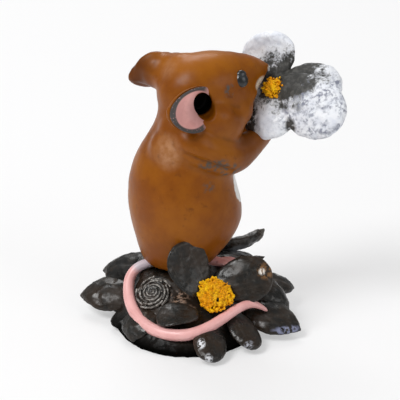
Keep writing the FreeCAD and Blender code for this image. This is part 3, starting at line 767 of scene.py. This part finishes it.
# Paws and hind feet: small castings, painted pink. The paws close round the flower's stem with
# four fingers each, and the hind feet lie flat on the mound with their toes spread.
PAW_PINK = (242, 184, 178)
PAW_ROSE = (230, 164, 160)
PAW_PALE = (240, 200, 194)
pink, tree, shader, place = paint("pink_paint", 0.40, 0.2)
tone = over(tree, patches(tree, place, 150, 0.35, 0.65), PAW_PINK, PAW_ROSE)
tone = over(tree, patches(tree, place, 900, 0.66, 0.80), tone, PAW_PALE)
brushed_on(tree, shader, place, tone, 900, 0.05 * MM)

GRIP = Vector((21.9, 17.1, 47.1))
PAW_ASIDE = 1.7
PAW_HALF_SIZES = (2.2, 1.6, 2.2)
FINGERS = 4
FINGERS_APART = 0.88
# a finger's way round the stem: ahead, outwards, radius
FINGER_ROUTE = (
    (0, 0.2, 0.55),
    (1.4, 0.7, 0.58),
    (2.5, 0.4, 0.58),
    (2.7, -0.7, 0.52),
    (2.0, -1.6, 0.34),
)
for name in ("right_paw", "left_paw"):
    hand = hand_of(name)
    middle = GRIP + Vector((0, hand * PAW_ASIDE, 0))
    parts = [lump(middle, PAW_HALF_SIZES)]
    for n in range(FINGERS):
        x, y, z = middle + Vector((0, 0, (n - (FINGERS - 1) / 2) * FINGERS_APART))
        finger = [(x + ahead, y + hand * out, z, radius) for ahead, out, radius in FINGER_ROUTE]
        parts.append(drawn_along("finger", finger))
    paw = clay_worked(joined(name, parts), 0.12 * MM, 4)
    fitted(paw, name, pink)

# heel and longest toe of each foot
FEET = {
    "right_foot": ((1.2, 3.3, 16.1), (13.1, -1.7, 16.1)),
    "left_foot": ((1.2, 6.7, 15.4), (6.0, 18.6, 15.4)),
}
# share of the foot's length, radius
SOLE = ((0, 1.0), (0.2, 1.15), (0.45, 1.2), (0.65, 1.3), (0.78, 0.9))
TOES = 4
TOES_START = 0.62
TOES_WIDTH = 3.4
TOE_RADII = (0.7, 0.68, 0.62, 0.6, 0.35)
TOE_STEP = 1.05
TOE_SPLAY = 0.5
TOE_ARCH = 0.5
for name, (heel, toe) in FEET.items():
    heel, toe = Vector(heel), Vector(toe)
    ahead = (toe - heel).normalized()
    aside = Vector((0, 0, 1)).cross(ahead)
    sole = [(*(heel + (toe - heel) * share), radius) for share, radius in SOLE]
    parts = [drawn_along("sole", sole)]
    for n in range(TOES):
        spread = (n - (TOES - 1) / 2) / TOES
        start = heel + (toe - heel) * TOES_START + aside * (spread * TOES_WIDTH)
        toes = []
        for k, radius in enumerate(TOE_RADII):
            reach = (ahead + aside * spread * TOE_SPLAY) * (k * TOE_STEP)
            rise = Vector((0, 0, TOE_ARCH * math.sin(k * 0.8)))
            toes.append((*(start + reach + rise), radius))
        parts.append(drawn_along("toe", toes))
    foot = clay_worked(joined(name, parts), 0.14 * MM, 5)
    fitted(foot, name, pink)


# Tail: drawn out of one bar of clay, cast and painted pink, and laid round the front of the
# mound and over its petals.
TAIL_PINK = (242, 184, 180)
TAIL_ROSE = (230, 168, 164)
TAIL_PALE = (206, 192, 200)
TAIL_ROUTE = (
    (-6.7, 1.4, 16.1, 1.18),
    (-10.6, 0.6, 15.7, 1.24),
    (-13.9, 0.0, 13.7, 1.33),
    (-14.7, -2.9, 10.8, 1.44),
    (-14.2, -6.7, 8.1, 1.52),
    (-12.5, -10.7, 6.2, 1.55),
    (-9.7, -14.7, 5.0, 1.55),
    (-5.4, -18.2, 4.6, 1.55),
    (0.0, -20.1, 5.0, 1.52),
    (4.9, -18.8, 6.2, 1.46),
    (9.0, -16.1, 7.8, 1.36),
    (12.6, -13.4, 9.4, 1.24),
    (15.7, -11.1, 9.9, 1.08),
    (18.3, -9.8, 8.6, 0.81),
    (20.1, -9.2, 7.0, 0.50),
    (20.4, -9.1, 6.7, 0.15),
)
tail = drawn_along("tail", TAIL_ROUTE)
clay_worked(tail, 0.2 * MM, 4)
uneven(tail, 4 * MM, 0.12 * MM)
tail_pink, tree, shader, place = paint("tail_paint", 0.38, 0.3)
tone = over(tree, patches(tree, place, 200, 0.35, 0.65), TAIL_PINK, TAIL_ROSE)
# the root is paler
ROOT_PLACE = ((-10.6, -0.6, 16.4), (4.0, 4.0, 3.4))
tone = over(tree, times(tree, spot(tree, place, *ROOT_PLACE), 2.5), tone, TAIL_PALE)
brushed_on(tree, shader, place, tone, 700, 0.05 * MM)
fitted(tail, "tail", tail_pink)


# Petals of the flower in the paws: puffy castings, fixed round its yellow eye and painted white
# with a dry brush that leaves the dark undercoat bare towards the eye.
PETAL_WHITE = (244, 246, 250)
PETAL_SHADE = (222, 226, 235)
SCUFF_GREY = (128, 132, 148)
UNDERCOAT = (46, 46, 43)
RUBBED_UNDERCOAT = (76, 75, 72)
PETAL_OUTLINE = (
    (0, 0.16), (0.12, 0.27), (0.30, 0.40), (0.52, 0.49),
    (0.72, 0.49), (0.88, 0.37), (0.96, 0.22), (0.995, 0.08),
)
PETAL_THICKNESS = 3.4
PETAL_ROOT = (21.7, 13.9, 58.2)
# tip, facing, width, bow, cup
FLOWER_PETALS = {
    "flower_petal_bottom": ((21.0, 5.5, 46.4), (-0.45, -0.71, 0.54), 15.6, 2.0, -1.2),
    "flower_petal_lower_right": ((39.3, -2.1, 54.1), (-0.56, -0.72, 0.42), 17.0, 2.4, -1.4),
    "flower_petal_top": ((19.5, 19.6, 71.2), (-0.44, -0.85, 0.3), 15.8, -1.6, 1.2),
    "flower_petal_upper_right": ((39.2, 9.2, 60.4), (-0.29, -0.86, 0.42), 12.0, 1.2, -1.0),
    "flower_petal_left": ((16.1, 22.9, 55.3), (-0.85, -0.44, 0.29), 10.0, 1.0, 1.0),
}
EYE_SURROUND = ((25.6, 11.0, 60.6), (20, 17, 13.4))
# painted shade: the left edge of the bottom petal and the gap beside it lie in shadow and
# get the dark undercoat colour
SHADED_PLACES = (((15.9, 9.0, 51.5), (2.5, 6.0, 6.5)), ((25.9, 3.5, 51.4), (1.6, 4.0, 2.6)))
SCUFFED_PLACE = ((35.0, 1.0, 55.0), (14, 14, 12))
white, tree, shader, place = paint("white_paint", 0.62)
# the white starts where its distance from the eye and the noise of blots and dabs add up
blots = noise(tree, place, 330.0, 3.0, 0.5)
dabs = noise(tree, place, 1000.0, 6.0, 0.7)
distance = reckoned(tree, "SUBTRACT", 1.0, spot(tree, place, *EYE_SURROUND))
reach = reckoned(tree, "MULTIPLY_ADD", blots, 0.55, distance, clamp=False)
reach = reckoned(tree, "MULTIPLY_ADD", dabs, 0.75, reach, clamp=False)
painted = ramp(tree, reach, 1.04, 1.26)
for middle, radii in SHADED_PLACES:
    missed = times(tree, spot(tree, place, middle, radii), 2.4)
    missed = times(tree, missed, patches(tree, place, 700, 0.34, 0.50))
    painted = reckoned(tree, "SUBTRACT", painted, missed)
tone = over(tree, patches(tree, place, 260, 0.35, 0.7), PETAL_WHITE, PETAL_SHADE)
scuffs = patches(tree, place, 300, 0.36, 0.60)
scuffs = times(tree, scuffs, patches(tree, place, 1000, 0.42, 0.62))
scuffed = reckoned(tree, "MULTIPLY_ADD", spot(tree, place, *SCUFFED_PLACE), 2.8, 0.3)
tone = over(tree, times(tree, scuffs, scuffed), tone, SCUFF_GREY)
bare = over(tree, patches(tree, place, 700, 0.45, 0.65), UNDERCOAT, RUBBED_UNDERCOAT)
tone = over(tree, painted, bare, tone)
brushed_on(tree, shader, place, tone, 1100, 0.22 * MM)
for name, (tip, facing, width, bow, cup) in FLOWER_PETALS.items():
    form = (width, PETAL_THICKNESS, bow, cup, PETAL_OUTLINE)
    petal = blade(name, PETAL_ROOT, tip, facing, *form)
    uneven(petal, 2.6 * MM, 0.6 * MM)
    uneven(petal, 0.7 * MM, 0.14 * MM)
    fitted(petal, name, white)


# Yellow eyes of the two flowers: each is a low dome of florets between the petals, stippled on
# as dots of thick paint paste.
FLORET_YELLOW = (250, 198, 6)
FLORET_ORANGE = (238, 158, 2)
FLORET_GREEN = (172, 150, 24)
FLORET_GAP_SHADE = (176, 120, 2)
SPECK_BLACK = (16, 14, 10)
yellow, tree, shader, place = paint("yellow_paint", 0.55)
shader.inputs["Specular IOR Level"].default_value = 0.2
tone = over(tree, patches(tree, place, 420, 0.35, 0.62), FLORET_YELLOW, FLORET_ORANGE)
tone = over(tree, patches(tree, place, 900, 0.66, 0.76), tone, FLORET_GREEN)
# painted shade in the gaps between the florets
tone = over(tree, proud(tree, 0.30, 0.62), FLORET_GAP_SHADE, tone)
# a black speck of undercoat that the yellow missed, on the eye of the lower flower
SPECK_PLACE = ((7.9, -14.4, 12.4), (0.6, 0.9, 0.6))
tone = over(tree, times(tree, spot(tree, place, *SPECK_PLACE), 6.0), tone, SPECK_BLACK)
brushed_on(tree, shader, place, tone, 1800, 0.12 * MM)
GOLDEN_ANGLE = math.radians(137.5)
FLORET_REACH = 0.92


def floret_dome(name, middle, facing, radius, height, florets, seed):
    """Florets in the spiral of a real daisy eye, over a low dome."""
    draw = random.Random(seed)
    core = radius * FLORET_REACH
    parts = [lump((0, 0, -0.2), (core, core, height * 0.9))]
    for n in range(florets):
        share = math.sqrt((n + 0.5) / florets)
        angle = n * GOLDEN_ANGLE
        out = radius * share * (0.9 + 0.2 * draw.random())
        rise = height * math.sqrt(max(0, 1 - (share * FLORET_REACH) ** 2))
        size = radius * (0.06 + 0.07 * draw.random())
        bpy.ops.object.select_all(action="DESELECT")
        bpy.ops.mesh.primitive_ico_sphere_add(subdivisions=1, radius=size * MM)
        floret = bpy.context.object
        swell = 1.2 + 1.2 * draw.random()
        floret.data.transform(Matrix.Diagonal((1, 1, swell, 1)))
        lean = Vector((math.cos(angle) * share, math.sin(angle) * share, 1.1))
        floret.data.transform(lean.to_track_quat("Z", "Y").to_matrix().to_4x4())
        where = Vector((out * math.cos(angle), out * math.sin(angle), rise)) * MM
        floret.data.transform(Matrix.Translation(where))
        parts.append(floret)
    dome = clay_worked(joined(name, parts), 0.11 * MM, 2)
    uneven(dome, 0.9 * MM, 0.7 * MM)
    proud_grain(dome, 14, 0.5 * MM)
    placed(dome, Vector(middle) * MM, facing, (0, 1, 0.3))
    fitted(dome, name, yellow)


floret_dome(
    "flower_eye",
    middle=(22.3, 11.0, 58.4),
    facing=(-0.38, -0.80, 0.46),
    radius=2.8,
    height=2.4,
    florets=110,
    seed=3,
)


# Calyx and stem behind the held flower, painted a dull green: a cup that carries the petals,
# and a curved stalk that both paws grip.
STALK_GREEN = (70, 74, 60)
STALK_DARK = (52, 56, 48)
# height, radius
CALYX_RINGS = ((0, 0.9), (0.9, 1.6), (2.0, 2.7), (3.1, 3.2), (4.6, 3.1))
CALYX_ROOT = Vector((23.5, 17.1, 56.7)) * MM
CALYX_AHEAD = (-0.45, -0.80, 0.39)
STEM_ROUTE = (
    (22.4, 15.2, 57.5, 1.0),
    (23.4, 17.0, 56.6, 1.0),
    (24.2, 18.8, 54.0, 1.0),
    (23.4, 18.6, 50.4, 1.0),
    (22.3, 17.6, 47.0, 1.0),
    (21.9, 17.2, 44.8, 1.0),
    (21.9, 17.1, 43.5, 0.8),
)
stalk, tree, shader, place = paint("stalk_paint", 0.5, 0.1)
tone = over(tree, patches(tree, place, 300, 0.35, 0.65), STALK_GREEN, STALK_DARK)
brushed_on(tree, shader, place, tone, 900, 0.08 * MM)
calyx = drawn_form("flower_calyx", 16, [in_metres(s, r, r, 0, 0) for s, r in CALYX_RINGS])
rounded(placed(calyx, CALYX_ROOT, CALYX_AHEAD, (0, 0, 1)), 2)
stem = drawn_along("flower_stem", STEM_ROUTE)
for piece, node in ((calyx, "flower_calyx"), (stem, "flower_stem")):
    picked(piece)
    bpy.ops.object.shade_smooth()
    fitted(piece, node, stalk)


# Mound: a heap of folded leaves in dark bronze paint, worked as one lump with a flat underside,
# cast, and brushed lightly with metal on its ridges.
BRONZE_BLACK = (26, 26, 24)
BRONZE_BROWN = (44, 33, 23)
BRONZE_GREY = (58, 54, 49)
RUBBED_METAL = (112, 107, 102)
UNDERSIDE_SHADE = (8, 8, 7)
DAB_BRONZE = (150, 124, 106)
# height, half widths, middle
MOUND_RINGS = (
    (0, 18.2, 21.2, 0.6, -0.8),
    (1.4, 18.6, 21.6, 0.6, -0.8),
    (3.0, 17.8, 20.2, 0.6, -0.5),
    (7.0, 15.6, 16.0, 0.0, 1.2),
    (10.5, 12.4, 12.8, -1.6, 3.5),
    (13.2, 10.6, 11.2, -2.2, 5.3),
    (14.0, 9.6, 10.2, -2.4, 5.7),
)
UNDER_FOOT = ((10.5, 5.5, 12.6), (5.0, 4.0, 3.0))
# folds round the foot of the slope, and their mean distance from the middle
LOBES = 11
LOBE_OUT = 13.6
LOBE_HEIGHT = 3.0
LOBE_HALF_SIZES = (6.2, 4.8, 2.2)
LOBE_TILT = math.radians(14)
# bearings of the folds on the upper slope, in degrees: none by the rosebud nor by the flower
UPPER_FOLDS = (22, 67, 112, 157, 338)
UPPER_MIDDLE = (-0.6, 2.0)
UPPER_OUT = 10.2
UPPER_HEIGHT = 7.6
UPPER_HALF_SIZES = (5.4, 4.2, 1.8)
UPPER_TILT = math.radians(36)
UNDERSIDE = 0.1 * MM


def bronze_tone(tree, place, low=0.58, high=0.90, metal=RUBBED_METAL):
    """Nearly black bronze paint with browner patches, rubbed to the metal where it is proud."""
    tone = over(tree, patches(tree, place, 160, 0.38, 0.62), BRONZE_BLACK, BRONZE_BROWN)
    tone = over(tree, patches(tree, place, 900, 0.55, 0.72), tone, BRONZE_GREY)
    rubbed = times(tree, proud(tree, low, high), patches(tree, place, 1000, 0.36, 0.56))
    return over(tree, rubbed, tone, metal)


def streaked_gloss(tree, shader, place):
    """Varnish that is uneven: dull in patches, wet in others."""
    shader.inputs["Specular IOR Level"].default_value = 0.3
    shader.inputs["Coat Roughness"].default_value = 0.14
    limits = {"Value": patches(tree, place, 300, 0.35, 0.65), "To Min": 0.20, "To Max": 0.50}
    gloss = add_node(tree, "MapRange", limits)
    tree.links.new(gloss.outputs["Result"], shader.inputs["Roughness"])


bronze, tree, shader, place = paint("leaf_paint", 0.40, 0.20)
tone = bronze_tone(tree, place)
# painted shade: black and dull towards the underside, where the mound meets the floor
height = add_node(tree, "SeparateXYZ", {0: place}).outputs["Z"]
lit = ramp(tree, height, 1.0 * MM, 7.0 * MM)
tone = over(tree, lit, UNDERSIDE_SHADE, tone)
# bronze dabs right of the rosebud and by the tail
DABS = (((-1.6, -9.4, 10.6), (3.0, 3.4, 1.8)), ((0.4, -13.2, 8.6), (3.0, 3.0, 1.6)))
for middle, radii in DABS:
    dab = times(tree, spot(tree, place, middle, radii), patches(tree, place, 900, 0.46, 0.56))
    tone = over(tree, times(tree, dab, 2.5), tone, DAB_BRONZE)
streaked_gloss(tree, shader, place)
tree.links.new(times(tree, lit, 0.3), shader.inputs["Specular IOR Level"])
tree.links.new(times(tree, lit, 0.2), shader.inputs["Coat Weight"])
brushed_on(tree, shader, place, tone, 700, 0.22 * MM)
heap = drawn_form("mound", 36, [in_metres(*ring) for ring in MOUND_RINGS])
parts = [heap, lump(*UNDER_FOOT)]
draw = random.Random(11)
for n in range(LOBES):
    angle = 2 * math.pi * n / LOBES
    turn = Matrix.Rotation(angle, 4, "Z") @ Matrix.Rotation(LOBE_TILT, 4, "Y")
    out = LOBE_OUT + draw.random()
    where = (out * math.cos(angle), out * math.sin(angle), LOBE_HEIGHT)
    parts.append(lump(where, LOBE_HALF_SIZES, turn))
for bearing in UPPER_FOLDS:
    angle = math.radians(bearing)
    turn = Matrix.Rotation(angle, 4, "Z") @ Matrix.Rotation(UPPER_TILT, 4, "Y")
    x, y = UPPER_MIDDLE
    where = (x + UPPER_OUT * math.cos(angle), y + UPPER_OUT * math.sin(angle), UPPER_HEIGHT)
    parts.append(lump(where, UPPER_HALF_SIZES, turn))
mound = clay_worked(joined("base_mound", parts), 0.36 * MM, 4)
uneven(mound, 2.2 * MM, 0.45 * MM)
proud_grain(mound, 30, 1.0 * MM)
bpy.ops.object.mode_set(mode="EDIT")
bpy.ops.mesh.select_all(action="SELECT")
bpy.ops.mesh.bisect(
    plane_co=(0, 0, UNDERSIDE), plane_no=(0, 0, 1), clear_inner=True, use_fill=True
)
bpy.ops.object.mode_set(mode="OBJECT")
fitted(mound, "base_mound", bronze)


# Petals and eye of the flower on the mound and the leaves round it: cast blades in dark bronze
# paint, set into the heap. Their edges are rubbed lighter, and painted highlights lie on the
# tips of the front ones.
LEAF_RUBBED = (126, 118, 108)
LEAF_STREAKS = (62, 58, 53)
LEAF_OUTLINE = (
    (0, 0.26), (0.12, 0.36), (0.30, 0.47), (0.50, 0.50), (0.70, 0.42),
    (0.86, 0.24), (0.94, 0.13), (0.99, 0.05), (1.01, 0.012),
)
# root, tip, facing, width, thickness, bow, cup
BASE_PETALS = {
    "base_petal_upright":
        ((4.1, -11.6, 12.0), (-2.0, -9.0, 25.2), (0.47, -0.80, 0.37), 12.6, 1.5, -0.6, 0.8),
    "base_petal_right":
        ((5.9, -7.2, 12.0), (21.9, -7.7, 16.5), (-0.17, -0.84, 0.52), 13.0, 1.6, 1.4, -0.8),
    "base_petal_front":
        ((5.5, -12.7, 5.6), (6.1, -27.2, 1.2), (0.21, -0.29, 0.93), 9.4, 2.2, 1.4, -1.2),
    "base_petal_front_right":
        ((10.4, -9.0, 7.0), (17.2, -20.3, 1.3), (0.35, -0.26, 0.90), 9.0, 2.2, 1.2, -1.0),
    "base_petal_left":
        ((3.3, -15.6, 8.6), (-7.5, -15.4, 7.3), (-0.06, -0.50, 0.86), 7.8, 1.6, 1.0, 1.0),
}
LEAVES = {
    "leaf_left_high":
        ((-7.8, 5.8, 12.6), (-21.7, 12.3, 8.4), (-0.41, -0.32, 0.86), 12.6, 1.8, 1.0, -1.6),
    "leaf_left_low":
        ((-11.3, 2.5, 7.0), (-27.5, 6.5, 3.8), (-0.28, -0.43, 0.86), 13.0, 2.2, 1.4, -1.8),
    "leaf_front_left":
        ((-9.2, -7.9, 7.0), (-13.5, -15.9, 1.2), (-0.40, -0.39, 0.83), 13.0, 2.2, 1.6, -1.8),
    "leaf_right_fold":
        ((15.2, 0.0, 11.8), (26.7, -2.9, 2.8), (0.46, -0.48, 0.75), 10.0, 2.0, 2.4, -2.0),
    "leaf_right_high":
        ((15.5, 4.0, 9.2), (28.0, 9.9, 4.5), (0.44, -0.22, 0.87), 10.0, 2.0, 1.2, -1.2),
    "leaf_right_low":
        ((14.3, -5.3, 6.2), (28.9, -10.8, 2.0), (0.09, -0.47, 0.88), 12.0, 2.4, 1.4, -1.2),
    "leaf_curled":
        ((7.5, 14.5, 15.4), (20.7, 22.0, 16.0), (-0.24, 0.35, 0.91), 6.4, 3.4, -1.8, 1.4),
    "leaf_pale":
        ((7.4, 13.6, 12.0), (19.6, 18.1, 7.8), (0.30, 0.08, 0.95), 10.0, 1.8, 1.2, -1.4),
    "leaf_spike":
        ((8.6, 4.3, 10.4), (20.2, 8.4, 14.0), (-0.29, -0.02, 0.96), 4.4, 1.6, 0.6, 0.6),
    "leaf_back":
        ((0.5, 13.9, 8.7), (0.0, 27.9, 3.4), (0.02, 0.36, 0.93), 11.0, 1.8, 1.6, -1.4),
    "leaf_back_left":
        ((-6.2, 11.9, 9.2), (-13.8, 24.5, 4.2), (-0.14, 0.30, 0.95), 10.5, 1.8, 1.4, -1.4),
}
# how deep the midribs are, and how uneven the blades
BLADE_KINDS = ((BASE_PETALS, PETAL_OUTLINE, 0, 0.35), (LEAVES, LEAF_OUTLINE, 0.22, 0.7))
# touches of colour: a golden brown tip with painted white glints on it, painted highlights on
# the two front petals and on the front right one, a painted bluish highlight on the edge on
# the right, greys on the pale and the curled leaf behind the foot, painted shade on the left.
# Middle, radii, colour, how fine the stroke breaks up
TOUCHES_AND_PAINTED_LIGHT = (
    ((19.9, -8.4, 17.4), (2.6, 3.0, 2.4), (118, 84, 50), 1000),
    ((18.9, -9.4, 17.4), (1.2, 2.2, 1.1), (236, 230, 220), 1700),
    ((3.9, -23.0, 4.2), (1.2, 2.2, 1.6), (236, 238, 242), 1500),
    ((5.6, -25.8, 2.0), (1.4, 2.0, 1.4), (236, 238, 242), 1500),
    ((15.4, -19.2, 2.6), (1.7, 2.2, 1.2), (206, 210, 222), 1500),
    ((25.0, -11.8, 2.9), (4.6, 2.6, 1.2), (128, 132, 158), 1100),
    ((12.6, 15.0, 11.4), (5.0, 4.4, 3.6), (112, 114, 117), 300),
    ((17.0, 20.0, 17.0), (7.0, 5.0, 3.0), (92, 86, 78), 300),
    ((-16.0, 9.0, 11.0), (9.0, 8.0, 6.0), (13, 12, 10), 200),
)
leaf_metal, tree, shader, place = paint("leaf_metal_paint", 0.38, 0.15)
tone = bronze_tone(tree, place, 0.56, 0.80, LEAF_RUBBED)
lengthwise = add_node(tree, "Mapping", {"Vector": grain_of(tree), "Scale": (6.0, 1.0, 0.8)})
streaks = patches(tree, lengthwise.outputs[0], 3.0, 0.54, 0.76)
tone = over(tree, streaks, tone, LEAF_STREAKS)
for middle, radii, colour, fineness in TOUCHES_AND_PAINTED_LIGHT:
    touch = times(tree, spot(tree, place, middle, radii), 2.5)
    touch = times(tree, touch, patches(tree, place, fineness, 0.44, 0.54))
    tone = over(tree, touch, tone, colour)
streaked_gloss(tree, shader, place)
brushed_on(tree, shader, place, tone, 600, 0.22 * MM)
for blades, outline, vein, depth in BLADE_KINDS:
    for name, form in blades.items():
        leaf = blade(name, *form, outline, vein)
        uneven(leaf, 2.6 * MM, depth * MM)
        uneven(leaf, 0.9 * MM, 0.16 * MM)
        proud_grain(leaf, 12, 0.7 * MM)
        fitted(leaf, name, leaf_metal)

floret_dome(
    "base_flower_eye",
    middle=(7.0, -12.0, 12.0),
    facing=(0.12, -0.70, 0.70),
    radius=4.2,
    height=2.3,
    florets=260,
    seed=5,
)


# Rosebud: one small casting on the mound's left shoulder, in the same bronze paint. Its petals
# are rolled round each other, seen from above as a whorl with rubbed ridges, brightened further
# as painted highlights.
ROSE_RUBBED_AND_GLINTS = (190, 185, 178)
ROSE_MIDDLE = Vector((-8.1, -7.2, 10.5))
ROSE_FACING = Vector((-0.30, -0.55, 0.78))
# reach of each turn of petals, how many there are, how high their edges stand
ROSE_TURNS = ((4.3, 5, 0.70), (3.3, 4, 0.95), (2.3, 3, 1.15), (1.3, 3, 1.25), (0.5, 2, 1.30))
# a petal's edge: its radius, the steps along it, how far it laps over the next, closes in, sinks
EDGE_RADIUS = 0.27
EDGE_STEPS = 5
EDGE_LAP = 1.2
EDGE_CLOSES = 0.20
EDGE_SINKS = 0.10
parts = [lump((0, 0, -0.6), (4.7, 4.7, 1.7)), lump((0, 0, 0.4), (2.6, 2.6, 1.0))]
for turn, (reach, count, height) in enumerate(ROSE_TURNS):
    for n in range(count):
        start = 2 * math.pi * (n + 0.4 * turn) / count
        route = []
        for k in range(EDGE_STEPS + 1):
            angle = start + 2 * math.pi * EDGE_LAP / count * k / EDGE_STEPS
            out = reach * (1.08 - EDGE_CLOSES * k / EDGE_STEPS)
            rise = height - EDGE_SINKS * k / EDGE_STEPS
            route.append((out * math.cos(angle), out * math.sin(angle), rise, EDGE_RADIUS))
        parts.append(drawn_along("rose_petal", route))
rose = clay_worked(joined("rosebud", parts), 0.10 * MM, 2)
uneven(rose, 0.9 * MM, 0.25 * MM)
proud_grain(rose, 20, 0.4 * MM)
rose_metal, tree, shader, place = paint("rose_paint", 0.40, 0.30)
tone = bronze_tone(tree, place, 0.48, 0.68, ROSE_RUBBED_AND_GLINTS)
streaked_gloss(tree, shader, place)
brushed_on(tree, shader, place, tone, 900, 0.10 * MM)
placed(rose, ROSE_MIDDLE * MM, ROSE_FACING, (0, 1, 0))
fitted(rose, "rosebud", rose_metal)
